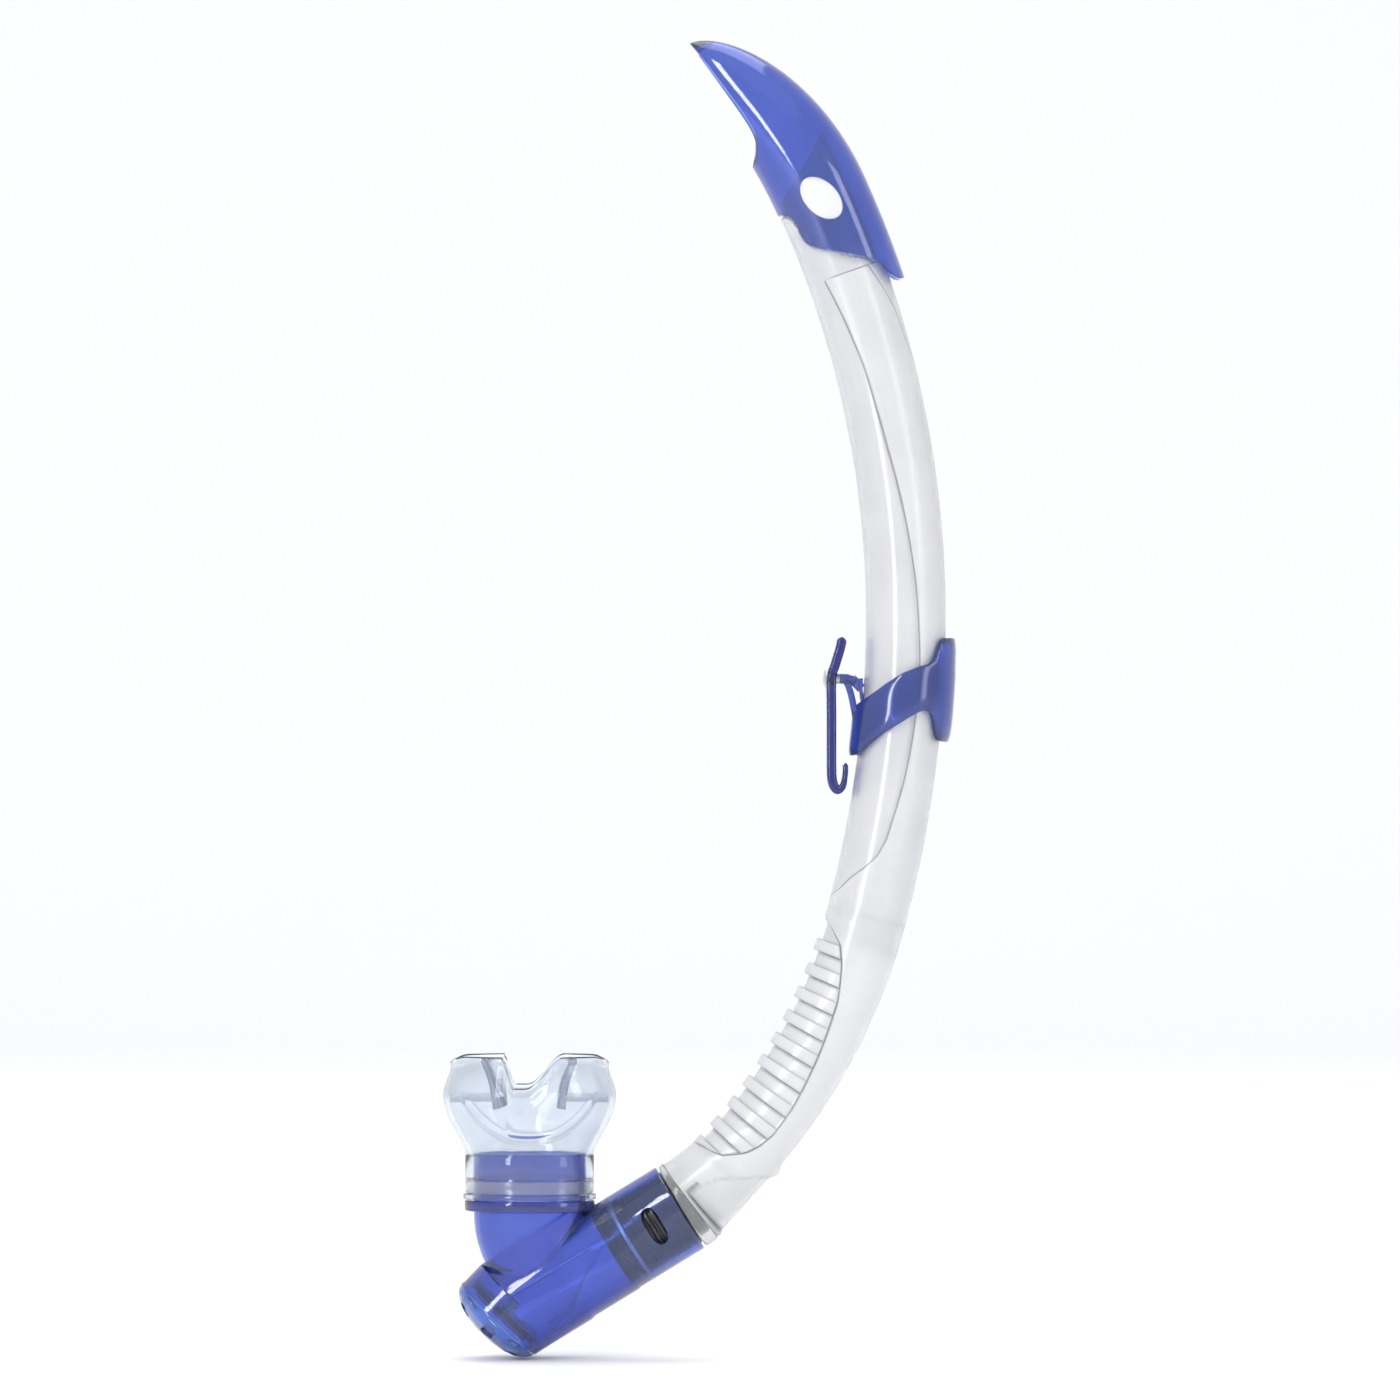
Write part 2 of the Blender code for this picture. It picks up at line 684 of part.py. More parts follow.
def make_swivel():
    turned("swivel_spigot", spigot_profile(), NECK_FRAME, "black")
    floor = SPIGOT_RADIUS - SEAL_DEPTH + GAP
    for name, place in zip(("spigot_seal_upper", "spigot_seal_lower"), SEAL_PLACES):
        turned(name, ring_profile(floor, SPIGOT_RADIUS, place, SEAL_WIDTH), NECK_FRAME, "black")
    outer = SPIGOT_RADIUS + GAP + SNAP_PROUD
    section = ring_profile(floor, outer, SNAP_PLACE, SNAP_WIDTH)
    snap = turned("swivel_snap_ring", section, NECK_FRAME, "steel")
    split = box(
        "snap_ring_split",
        (0.0, -SNAP_OPENING / 2, -SNAP_PLACE - SNAP_WIDTH),
        (outer * 2, SNAP_OPENING / 2, -SNAP_PLACE + SNAP_WIDTH),
        NECK_FRAME,
    )
    boolean(snap, split)


# The chamber with its mouth port


def port_oval(name, grow, low, high):
    frame = Matrix.Translation((PORT_X, 0.0, 0.0))
    return rod(name, PORT_HALF_WIDTH + grow, PORT_HALF_DEPTH + grow, low, high, frame)


def make_chamber():
    neck = NECK_BORE + NECK_WALL
    waist = neck + WAIST_STEP
    body = waist + CHAMBER_STEP
    waist_end = NECK_LENGTH + WAIST_LENGTH
    steps = [(0.0, -2 * GAP), (neck, -2 * GAP), (neck, -NECK_LENGTH), (waist, -NECK_LENGTH - WAIST_STEP)]
    steps += [(waist, -waist_end), (body, -waist_end - CHAMBER_STEP)]
    steps += [(body, -CHAMBER_LENGTH), (0.0, -CHAMBER_LENGTH)]
    chamber = turned("chamber", steps, NECK_FRAME, "blue")
    axis_height = NECK_Z + (PORT_X - NECK_X) * math.tan(NECK_TILT)
    boolean(chamber, port_oval("port_wall", 0.0, axis_height, PORT_TOP), "UNION")
    flange = port_oval("port_flange", FLANGE_OVERHANG, FLANGE_TOP - FLANGE_HEIGHT, FLANGE_TOP)
    boolean(chamber, flange, "UNION")
    boolean(chamber, rod("end_ring", END_RADIUS, END_RADIUS, -END_DEPTH, 0.0, END_FRAME), "UNION")
    boolean(chamber, box("end_trim", (-0.03, -0.03, 0.0), (0.03, 0.03, 0.03), END_FRAME))
    boolean(chamber, rod("neck_bore", NECK_BORE, NECK_BORE, -CHAMBER_LENGTH + 0.006, 0.01, NECK_FRAME))
    groove = turned(
        "snap_groove",
        ring_profile(NECK_BORE - 0.001, NECK_BORE + SNAP_PROUD + GAP, SNAP_PLACE, SNAP_WIDTH + 2 * GAP),
        NECK_FRAME,
    )
    boolean(chamber, groove)
    end_bore = END_RADIUS - END_WALL
    boolean(chamber, rod("end_bore", end_bore, end_bore, -END_DEPTH, 0.01, END_FRAME))
    boolean(chamber, port_oval("port_bore", -PORT_WALL, axis_height, PORT_TOP + 0.01))
    window_frame = Matrix.Translation(NECK_FRAME @ Vector((0.0, 0.0, -WINDOW_PLACE)))
    window_frame @= Matrix.Rotation(-NECK_TILT, 4, "Y") @ Matrix.Rotation(math.pi / 2, 4, "X")
    half_width, half_length = WINDOW_WIDTH / 2, WINDOW_LENGTH / 2
    window = rod("neck_window", half_width, half_length, -THROUGH, THROUGH, window_frame, sides=SIDES)
    boolean(chamber, window)


# The purge valve


def sector_cutters(name, count, half_width, inner, outer, low, high):
    """Slots spread evenly round the end frame's axis."""
    for k in range(count):
        turn = END_FRAME @ Matrix.Rotation(2 * math.pi * (k + 0.5) / count, 4, "Z")
        yield box(f"{name}_{k}", (inner, -half_width, low), (outer, half_width, high), turn)


def make_purge():
    seat_top = -SEAT_INSET
    seat_low = seat_top - SEAT_THICKNESS
    outer = END_RADIUS - END_WALL - GAP
    seat_profile = [(SEAT_HOLE, seat_top), (outer, seat_top), (outer, seat_low), (SEAT_HOLE, seat_low)]
    seat = turned("purge_valve_seat", seat_profile, END_FRAME, "dark_blue")
    slots = sector_cutters(
        "seat_slot",
        SEAT_SLOTS,
        SEAT_SLOT_WIDTH / 2,
        SEAT_HUB,
        VALVE_RADIUS - SEAT_LAND,
        2 * seat_low,
        0.0,
    )
    for slot in slots:
        boolean(seat, slot)
    disc_low = seat_top + GAP
    disc_top = disc_low + VALVE_THICKNESS
    stem = SEAT_HOLE - GAP
    bead_top = seat_low - GAP - VALVE_TRAVEL
    valve_profile = [(0.0, disc_top), (VALVE_RADIUS, disc_top), (VALVE_RADIUS, disc_low), (stem, disc_low)]
    bead_low = bead_top - BEAD_HEIGHT
    valve_profile += [(stem, bead_top), (VALVE_BEAD, bead_top), (stem, bead_low), (0.0, bead_low)]
    turned("purge_valve_disc", valve_profile, END_FRAME, "clear_silicone")
    cover = turned("purge_cover", cover_profile(), END_FRAME, "light_blue")
    slots = sector_cutters(
        "cover_slot",
        COVER_SLOTS,
        COVER_SLOT_WIDTH / 2,
        COVER_SLOT_START,
        COVER_SLOT_END,
        COVER_RIM,
        2 * COVER_HEIGHT,
    )
    for slot in slots:
        boolean(cover, slot)


def cover_profile():
    """Domed shell of elliptic section: down its outside to the edge, then back up its inside."""
    angles = [math.pi / 2 * k / 6 for k in range(7)]
    hollow_radius, hollow_height = END_RADIUS - COVER_WALL, COVER_HEIGHT - COVER_WALL
    outside = [(END_RADIUS * math.sin(a), GAP + COVER_HEIGHT * math.cos(a)) for a in angles]
    inside = [(hollow_radius * math.sin(a), GAP + hollow_height * math.cos(a)) for a in angles[::-1]]
    return outside + inside


# The mouthpiece and its tie


def rim_height(angle):
    """The rim stands high at both cheeks and dips at the lips."""
    return NOTCH_BOTTOM + (RIM_TOP - NOTCH_BOTTOM) * blend(0.18, 0.72, abs(math.cos(angle)))


def mouth_sections():
    """Half sizes of the mouthpiece's outside, as (share of the way up to the rim, width, depth)."""
    sleeve = (PORT_HALF_WIDTH + GAP + SLEEVE_WALL, PORT_HALF_DEPTH + GAP + SLEEVE_WALL)
    rows = []
    for k in range(9):
        t = k / 8
        bulge = math.sin(min(1.0, t / 0.6) * math.pi / 2)
        tuck = blend(0.6, 1.0, t)
        width = sleeve[0] + (BODY_HALF_WIDTH - sleeve[0]) * bulge - (BODY_HALF_WIDTH - RIM_HALF_WIDTH) * tuck
        depth = sleeve[1] + (BODY_HALF_DEPTH - sleeve[1]) * bulge - (BODY_HALF_DEPTH - RIM_HALF_DEPTH) * tuck
        rows.append((t, width, depth))
    return rows


def make_mouthpiece():
    sleeve_width = PORT_HALF_WIDTH + GAP + SLEEVE_WALL
    sleeve_depth = PORT_HALF_DEPTH + GAP + SLEEVE_WALL
    bottom = FLANGE_TOP + GAP

    def level(height):
        return lambda angle: height

    def part_way(share):
        return lambda angle: SLEEVE_TOP + share * (rim_height(angle) - SLEEVE_TOP)

    tie_top = TIE_BOTTOM + TIE_HEIGHT
    outer = [oval_ring(PORT_X, level(bottom), sleeve_width, sleeve_depth)]
    for height, inset in ((TIE_BOTTOM, 0.0), (TIE_BOTTOM, TIE_GROOVE), (tie_top, TIE_GROOVE), (tie_top, 0.0)):
        outer.append(oval_ring(PORT_X, level(height), sleeve_width - inset, sleeve_depth - inset))
    inner = []
    for share, width, depth in mouth_sections():
        outer.append(oval_ring(PORT_X, part_way(share), width, depth))
        if share > 0:
            inner.append(oval_ring(PORT_X, part_way(share), width - MOUTH_WALL, depth - MOUTH_WALL))
    port_width, port_depth = PORT_HALF_WIDTH + GAP, PORT_HALF_DEPTH + GAP
    inner.reverse()
    inner.append(oval_ring(PORT_X, level(PORT_TOP + GAP), port_width, port_depth))
    inner.append(oval_ring(PORT_X, level(bottom), port_width, port_depth))
    mouthpiece = skin("mouthpiece", outer + inner, "clear_silicone", ring_shaped=True)
    thick, deep, tall = BITE_TAB
    for name, side in (("bite_tab_left", -1), ("bite_tab_right", 1)):
        middle = PORT_X + side * (RIM_HALF_WIDTH - BITE_TAB_INSET)
        tab = box(
            name,
            (middle - thick / 2, -deep / 2, BITE_TAB_TOP - tall),
            (middle + thick / 2, deep / 2, BITE_TAB_TOP),
        )
        boolean(mouthpiece, tab, "UNION")
        wall = PORT_X + side * (BODY_HALF_WIDTH - MOUTH_WALL / 2)
        low, high = sorted((middle, wall))
        web = box(name + "_web", (low, -0.002, BITE_TAB_TOP - tall), (high, 0.002, BITE_TAB_TOP - tall / 2))
        boolean(mouthpiece, web, "UNION")


def make_tie():
    """The clamp tie in the sleeve's groove, with its square head at the far side."""
    width = PORT_HALF_WIDTH + GAP + SLEEVE_WALL - TIE_GROOVE + GAP
    depth = PORT_HALF_DEPTH + GAP + SLEEVE_WALL - TIE_GROOVE + GAP
    low, high = TIE_BOTTOM + GAP, TIE_BOTTOM + TIE_HEIGHT - GAP
    frame = Matrix.Translation((PORT_X, 0.0, 0.0))
    tie = rod("mouthpiece_tie", width + TIE_THICKNESS, depth + TIE_THICKNESS, low, high, frame, "clear")
    back = depth + TIE_THICKNESS / 2
    half = TIE_HEAD_WIDTH / 2
    head = box("tie_head", (-half, back, low), (half, back + TIE_HEAD_DEPTH, high), frame)
    boolean(tie, head, "UNION")
    boolean(tie, rod("tie_bore", width, depth, low - 0.01, high + 0.01, frame))


# The strap keeper


def keeper_point(rise, offset):
    """A point at the keeper: rise above its middle along the tube, offset from the centreline."""
    return ROUTE.place(KEEPER_PLACE + rise, offset)


def make_keeper():
    outer = TUBE_RADIUS + GAP + KEEPER_WALL
    reach = KEEPER_HEIGHT / 2 + outer * math.tan(KEEPER_SLANT) + 0.002
    ring = pipe("keeper_ring", KEEPER_PLACE - reach, KEEPER_PLACE + reach, outer, "dark_blue")
    rise = 2 * outer * math.tan(KEEPER_SLANT)
    for name, side in (("keeper_upper_cut", 1), ("keeper_lower_cut", -1)):
        edge = side * KEEPER_HEIGHT / 2
        far = side * 0.05
        cut = [
            keeper_point(edge - rise, -2 * outer),
            keeper_point(edge + rise, 2 * outer),
            keeper_point(far + rise, 2 * outer),
            keeper_point(far - rise, -2 * outer),
        ]
        boolean(ring, prism(name, cut, THROUGH))
    tail_rings = []
    for distance in stations(TAIL_START, TAIL_END):
        frame = ROUTE.turned_frame(distance)
        angles = np.linspace(-TAIL_HALF_ANGLE, TAIL_HALF_ANGLE, 7)
        skins = ((outer, angles), (TUBE_RADIUS + GAP + KEEPER_WALL / 4, angles[::-1]))
        points = [(r * math.cos(a), r * math.sin(a)) for r, row in skins for a in row]
        tail_rings.append([frame @ Vector((x, y, 0.0)) for x, y in points])
    boolean(ring, skin("keeper_tail", tail_rings), "UNION")
    for k in range(GRIP_RIDGES):
        place = TAIL_END - GRIP_PITCH * (k + 0.5)
        ridge_frame = Matrix.Translation(ROUTE.place(place, outer)) @ Matrix.Rotation(math.pi / 2, 4, "X")
        half = GRIP_LENGTH / 2
        ridge = rod("grip_ridge", GRIP_HALF_WIDTH, GRIP_HEIGHT, -half, half, ridge_frame)
        boolean(ring, ridge, "UNION")
    arm_foot = PIVOT.z - BOSS_RADIUS
    boss_start = PLATE_INNER + BOSS_STAND_OFF
    boss_top = (ARM_BACK, ARM_HALF_WIDTH, PIVOT.z + BOSS_RADIUS)
    boss = box("keeper_boss", (boss_start, -ARM_HALF_WIDTH, arm_foot), boss_top)
    boolean(ring, boss, "UNION")
    arm_low = (KEEPER_FACE, -ARM_HALF_WIDTH, arm_foot - ARM_LENGTH)
    arm = box("keeper_arm", arm_low, (ARM_BACK, ARM_HALF_WIDTH, arm_foot + GAP))
    boolean(ring, arm, "UNION")
    boolean(ring, pipe("keeper_bore", KEEPER_PLACE - 0.04, KEEPER_PLACE + 0.04, TUBE_RADIUS + GAP))
    hole = PIVOT_RADIUS + GAP
    boolean(ring, rod("pivot_socket", hole, hole, -0.001, PIN_LENGTH + GAP, PIVOT_FRAME))


def make_hook():
    """A flat hook plate for the mask strap, its tip turned up behind the strap."""
    outer_x = PLATE_INNER - PLATE_THICKNESS
    tip_x = KEEPER_FACE - 2 * GAP
    bottom = PIVOT.z - HOOK_BELOW
    tip = PIVOT.z - HOOK_TIP_BELOW
    corner = 0.004
    outline = [
        (outer_x + HOOK_LEAN, PIVOT.z + HOOK_ABOVE),
        (PLATE_INNER + HOOK_LEAN, PIVOT.z + HOOK_ABOVE),
        (PLATE_INNER - HOOK_EASE, PIVOT.z + HOOK_BEND),
        (PLATE_INNER, PIVOT.z - SEAT_TOP),
        (PLATE_INNER, tip + 0.0015),
        (PLATE_INNER - HOOK_EASE, bottom + corner),
        (PLATE_INNER + 0.001, bottom + 0.003),
        (tip_x - HOOK_TIP_THICKNESS, bottom + corner),
        (tip_x - HOOK_TIP_THICKNESS, tip),
        (tip_x, tip),
        (tip_x, bottom + 0.003),
        (tip_x - 0.002, bottom + 0.0008),
        (outer_x + 0.0025, bottom),
        (outer_x, bottom + corner),
        (outer_x, PIVOT.z - SEAT_TOP),
        (outer_x + HOOK_EASE, PIVOT.z + HOOK_BEND),
    ]
    hook = prism("strap_hook", [Vector((x, 0.0, z)) for x, z in outline], HOOK_HALF_WIDTH, "dark_blue")
    hole = PIVOT_RADIUS + GAP
    boolean(hook, rod("hook_hole", hole, hole, -0.01, PLATE_THICKNESS + 0.01, PIVOT_FRAME))


def make_pin():
    profile = [(0.0, -0.0010), (PIVOT_HEAD, -0.0004), (PIVOT_HEAD, -GAP), (PIVOT_RADIUS, -GAP)]
    profile += [(PIVOT_RADIUS, PIN_LENGTH), (0.0, PIN_LENGTH)]
    turned("hook_pivot_pin", profile[::-1], PIVOT_FRAME, "steel", steps=20)


clear_scene()
PARTS = collection("snorkel")
CUTTERS = collection("cutters", hidden=True)
ROUTE = Route(NECK_X, NECK_Z, NECK_TILT).arc(CUFF_BEND_RADIUS, CUFF_BEND).add(CUFF_STRAIGHT)
ROUTE.arc(FLEX_BEND_RADIUS, FLEX_BEND).arc(MIDDLE_RADIUS, MIDDLE_BEND).arc(UPPER_RADIUS, UPPER_BEND)
FLEX_TOP = FLEX_START + FLEX_LENGTH
NECK_BORE = SPIGOT_RADIUS + GAP
NECK_CREST = (NECK_BORE + NECK_WALL) / math.cos(NECK_TILT)
SLEEVE_CLEAR = PORT_REACH - PORT_HALF_WIDTH - GAP - SLEEVE_WALL
FLANGE_TOP = NECK_Z + NECK_CREST - SLEEVE_CLEAR * math.tan(NECK_TILT) + FLANGE_LIFT
TIE_BOTTOM = FLANGE_TOP + TIE_LIFT
NECK_FRAME = axis_frame(ROUTE.place(0.0), (math.cos(NECK_TILT), 0.0, math.sin(NECK_TILT)))
END_FRAME = axis_frame(
    NECK_FRAME @ Vector((0.0, 0.0, -CHAMBER_LENGTH)),
    (-math.cos(NECK_TILT + END_TILT), 0.0, -math.sin(NECK_TILT + END_TILT)),
)
KEEPER_FACE = ROUTE.place(KEEPER_PLACE - FACE_DROP, -(TUBE_RADIUS + GAP + KEEPER_WALL)).x
PLATE_INNER = KEEPER_FACE - PLATE_GAP
ARM_BACK = KEEPER_FACE + ARM_THICKNESS
PIVOT = Vector((PLATE_INNER, 0.0, ROUTE.place(KEEPER_PLACE).z + PIVOT_HEIGHT))
PIVOT_FRAME = axis_frame(PIVOT - Vector((PLATE_THICKNESS, 0.0, 0.0)), (1.0, 0.0, 0.0))
make_barrel()
make_back_panel()
make_guard()
make_buttons()
make_flex()
make_cuff()
make_swivel()
make_chamber()
make_purge()
make_mouthpiece()
make_tie()
make_keeper()
make_hook()
make_pin()
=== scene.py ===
"""Fine surfaces, finishes and stage for a clear J-shaped snorkel, built around its packed model.

Metres, +Z up, the J of the tube in the XZ plane. A place on the tube is a distance s along its centreline
from the swivel joint, an angle round it from the outside of the J, and a radius.
"""

import json
import math

import bmesh
import bpy
import numpy as np
from bpy.props import FloatVectorProperty, IntProperty, PointerProperty
from bpy.types import Operator, Panel, PropertyGroup
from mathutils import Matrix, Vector


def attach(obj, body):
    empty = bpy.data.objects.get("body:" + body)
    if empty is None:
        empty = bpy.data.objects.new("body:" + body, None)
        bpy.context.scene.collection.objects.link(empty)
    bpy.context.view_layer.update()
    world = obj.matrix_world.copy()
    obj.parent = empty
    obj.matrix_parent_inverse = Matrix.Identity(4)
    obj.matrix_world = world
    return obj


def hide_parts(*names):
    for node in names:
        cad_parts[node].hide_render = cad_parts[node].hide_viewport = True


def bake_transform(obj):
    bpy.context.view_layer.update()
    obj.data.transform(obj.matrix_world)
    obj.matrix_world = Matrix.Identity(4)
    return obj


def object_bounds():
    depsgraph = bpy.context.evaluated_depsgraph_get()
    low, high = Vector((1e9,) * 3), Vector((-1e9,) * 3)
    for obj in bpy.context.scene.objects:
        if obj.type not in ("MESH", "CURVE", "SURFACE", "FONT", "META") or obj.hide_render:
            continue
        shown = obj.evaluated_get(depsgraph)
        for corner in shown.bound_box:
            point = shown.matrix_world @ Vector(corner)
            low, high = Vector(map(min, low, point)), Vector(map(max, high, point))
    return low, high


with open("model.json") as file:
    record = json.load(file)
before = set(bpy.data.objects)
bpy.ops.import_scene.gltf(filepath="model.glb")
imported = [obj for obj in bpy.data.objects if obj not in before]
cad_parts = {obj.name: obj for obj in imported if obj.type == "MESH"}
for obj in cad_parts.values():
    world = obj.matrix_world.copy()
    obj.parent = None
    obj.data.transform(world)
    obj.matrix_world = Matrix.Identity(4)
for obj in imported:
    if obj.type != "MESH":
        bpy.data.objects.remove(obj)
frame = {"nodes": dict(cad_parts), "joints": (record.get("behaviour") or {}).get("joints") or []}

bl_info = {
    "name": "Snorkel Finishes",
    "version": (1, 0, 0),
    "blender": (4, 5, 0),
    "location": "View3D > Sidebar > Snorkel",
    "description": "Builds the fine surfaces and finishes of a clear snorkel around its packed model",
    "category": "Add Mesh",
}

CAD_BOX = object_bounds()
JOINTS = {joint["name"]: joint for joint in frame["joints"]}
MM = 0.001
MERGE = 2e-6

# Route of the tube's centreline, in millimetres and degrees: length of each run and how far it bends
ROUTE_ARCS = ((33.2, 12.6), (181.25, 31.0), (363.1, 15.0), (315.6, 36.0))
CUFF_STRAIGHT = 3.7

# Tube, in millimetres
TUBE_RADIUS = 12.5
TUBE_WALL = 2.0
SHOULDER_RADIUS = 11.1
NIPPLE_RADIUS = 10.4
NIPPLE_BORE = 8.8
NIPPLE_LENGTH = 6.5
FLEX_START = 13.5
FLEX_TOP = 109.0
SLEEVE_START = 3.5
FOOT_TOP = 30.0
PANEL_TOP = 313.0
PANEL_THICKNESS = 0.6
TUBE_TOP = 348.5
TUBE_TOP_SLOPE = 7.5
GAP = 0.3

# Edge of the soft panel, (distance, angle in degrees from the outside of the J)
PANEL_EDGE = (
    (111.8, 180.0),
    (112.6, 172.0),
    (116.0, 146.0),
    (120.1, 130.0),
    (123.8, 113.2),
    (128.5, 97.5),
    (134.1, 89.0),
    (143.3, 83.5),
    (151.9, 78.2),
    (164.7, 73.2),
    (176.0, 70.3),
    (190.0, 70.0),
    (204.0, 73.6),
    (215.4, 77.4),
    (228.0, 83.2),
    (241.0, 89.6),
    (256.0, 98.0),
    (271.0, 104.0),
    (285.0, 108.0),
    (300.0, 117.0),
    (313.0, 127.0),
)
# Line that parts the ribbed inlay from the smooth back, and higher up the notch at the panel's top corner
INLAY_EDGE = (
    (17.6, 180.0),
    (18.0, 157.0),
    (18.4, 136.0),
    (20.7, 109.0),
    (26.2, 85.3),
    (30.9, 75.3),
    (36.2, 69.6),
    (45.2, 70.3),
    (53.5, 74.2),
    (62.9, 79.1),
    (72.4, 84.8),
    (81.5, 90.2),
    (92.2, 103.8),
    (98.7, 117.9),
    (102.5, 140.0),
    (105.0, 164.0),
    (106.2, 180.0),
    (110.0, 140.0),
    (120.0, 80.0),
    (134.0, 45.0),
    (270.0, 8.0),
    (282.0, 10.0),
    (288.0, 24.0),
    (298.0, 29.5),
    (313.0, 54.4),
)
INLAY_START = 17.6
INLAY_TOP = 106.2
NOTCH_START = 281.0
LINE_WIDTH = 0.32
LINE_DEPTH = 0.45
# How far the sleeve's colour is darkened along its lines: painted shade.
LINE_SHADE = 0.8

# Ribs of the flexible section
RIB_COUNT = 10
RIB_FIRST = 18.7
RIB_PITCH = 8.6
RIB_WIDTH = 4.0
RIB_PROUD = 0.4
RIB_VALLEY = 0.75
SLEEVE_WALL = 1.5

# Raised edge of the cuff: how high the sleeve comes down, (angle, distance)
CUFF_WINDOW = (
    (0.0, 26.7),
    (42.0, 23.6),
    (65.0, 19.6),
    (88.0, 15.0),
    (97.0, 10.5),
    (101.0, 6.5),
    (103.0, 4.4),
)
CUFF_MOUTH = 14.6
CUFF_WAIST = 12.55
WINDOW_DEPTH = 0.85


class SnorkelSizes(PropertyGroup):
    around: IntProperty(name="Segments around", description="Faces round a turned piece", default=96, min=24)


class SnorkelColours(PropertyGroup):
    clear: FloatVectorProperty(
        name="Clear plastic",
        description="Tint of the barrel",
        subtype="COLOR",
        default=(0.95, 0.955, 0.965),
    )
    silicone: FloatVectorProperty(
        name="Clear silicone",
        description="Tint of the mouthpiece",
        subtype="COLOR",
        default=(0.86, 0.89, 0.93),
    )
    blue: FloatVectorProperty(
        name="Clear blue",
        description="Tint of the guard and chamber",
        subtype="COLOR",
        default=(0.20, 0.33, 0.80),
    )
    deep_blue: FloatVectorProperty(
        name="Deep blue",
        description="Tint of the keeper and hook",
        subtype="COLOR",
        default=(0.06, 0.13, 0.62),
    )
    black: FloatVectorProperty(
        name="Black plastic",
        description="Colour of the spigot",
        subtype="COLOR",
        default=(0.008, 0.008, 0.012),
    )
    backdrop: FloatVectorProperty(
        name="Backdrop",
        description="Colour of the stage",
        subtype="COLOR",
        default=(0.92, 0.92, 0.925),
    )


def sizes():
    return bpy.context.scene.snorkel_sizes


def colours():
    return bpy.context.scene.snorkel_colours


# Numbers


def smooth(low, high, value):
    """Smooth step: 0 below low, 1 above high, three t squared less two t cubed between."""
    t = np.clip((value - low) / (high - low), 0.0, 1.0)
    return t * t * (3 - 2 * t)


def hill(value, width):
    """Bell curve: e to the power of minus the square of value over width."""
    return np.exp(-((value / width) ** 2))


def table(pairs, value):
    """Value read off a table of (place, value), straight between its points."""
    places, values = np.array(pairs).T
    return np.interp(value, places, values)


def norm(vectors):
    return np.linalg.norm(vectors, axis=-1, keepdims=True)


class Route:
    """Straight runs and arcs in the XZ plane. A chord of an arc is its length times sinc of half its bend."""

    def __init__(self, x, z, heading, runs):
        starts, places, curves = [0.0], [(x, z, heading)], []
        for length, bend in runs:
            x, z, heading = places[-1]
            chord = length * np.sinc(bend / 2 / np.pi)
            middle = heading + bend / 2
            places.append((x + chord * math.cos(middle), z + chord * math.sin(middle), heading + bend))
            starts.append(starts[-1] + length)
            curves.append(bend / length)
        self.starts = np.array(starts[:-1])
        self.places = np.array(places[:-1])
        self.curves = np.array(curves)

    def walk(self, s):
        """X, Z and heading at distances s."""
        s = np.asarray(s, float)
        k = np.clip(np.searchsorted(self.starts, s, side="right") - 1, 0, len(self.starts) - 1)
        gone = s - self.starts[k]
        x, z, heading = np.moveaxis(self.places[k], -1, 0)
        half = self.curves[k] * gone / 2
        chord = gone * np.sinc(half / np.pi)
        return x + chord * np.cos(heading + half), z + chord * np.sin(heading + half), heading + 2 * half

    def point(self, s, out=0.0, side=0.0):
        """World points: out is towards the outside of the J, side along +Y."""
        x, z, heading = self.walk(s)
        x, z, side = np.broadcast_arrays(x + out * np.sin(heading), z - out * np.cos(heading), side)
        return np.stack([x, side, z], -1)

    def wrap(self, s, angle, radius):
        """World points round the tube at angles and radii."""
        return self.point(s, radius * np.cos(angle), radius * np.sin(angle))


def snorkel_route():
    """The route from the swivel joint, in millimetres."""
    swivel = JOINTS["mouth_swivel"]
    x, _, z = (value / MM for value in swivel["pos_m"])
    heading = math.atan2(swivel["axis"][2], swivel["axis"][0])
    arcs = [(radius * math.radians(bend), math.radians(bend)) for radius, bend in ROUTE_ARCS]
    return Route(x, z, heading, [arcs[0], (CUFF_STRAIGHT, 0.0), *arcs[1:]])


ROUTE = snorkel_route()


def frame_matrix(origin, direction):
    """Origin in millimetres, and axes with Z along a direction in the XZ plane and Y along world Y."""
    z_axis = np.array(direction, float) / np.linalg.norm(direction)
    y_axis = np.array([0.0, 1.0, 0.0])
    x_axis = np.cross(y_axis, z_axis)
    return np.array(origin, float), np.stack([x_axis, y_axis, z_axis])


def to_world(points, matrix):
    """Points in a frame of origin and axes, taken to the world."""
    origin, axes = matrix
    return points @ axes + origin


SWIVEL = frame_matrix(np.array(JOINTS["mouth_swivel"]["pos_m"]) / MM, JOINTS["mouth_swivel"]["axis"])
CHAMBER_LENGTH = 67.3
END_PLACE = to_world(np.array([0.0, 0.0, -CHAMBER_LENGTH]), SWIVEL)
END = frame_matrix(END_PLACE, JOINTS["purge_valve_lift"]["axis"])
HOOK_PIVOT = np.array(JOINTS["hook_swivel"]["pos_m"]) / MM


# Meshes


def link(name, mesh):
    obj = bpy.data.objects.new(name, mesh)
    bpy.context.scene.collection.objects.link(obj)
    return obj


def clean(mesh):
    """Merges seams and poles, drops faces of no area and turns the faces outwards."""
    shape = bmesh.new()
    shape.from_mesh(mesh)
    bmesh.ops.remove_doubles(shape, verts=shape.verts, dist=MERGE)
    bmesh.ops.dissolve_degenerate(shape, edges=shape.edges, dist=MERGE)
    bmesh.ops.recalc_face_normals(shape, faces=shape.faces)
    shape.to_mesh(mesh)
    shape.free()


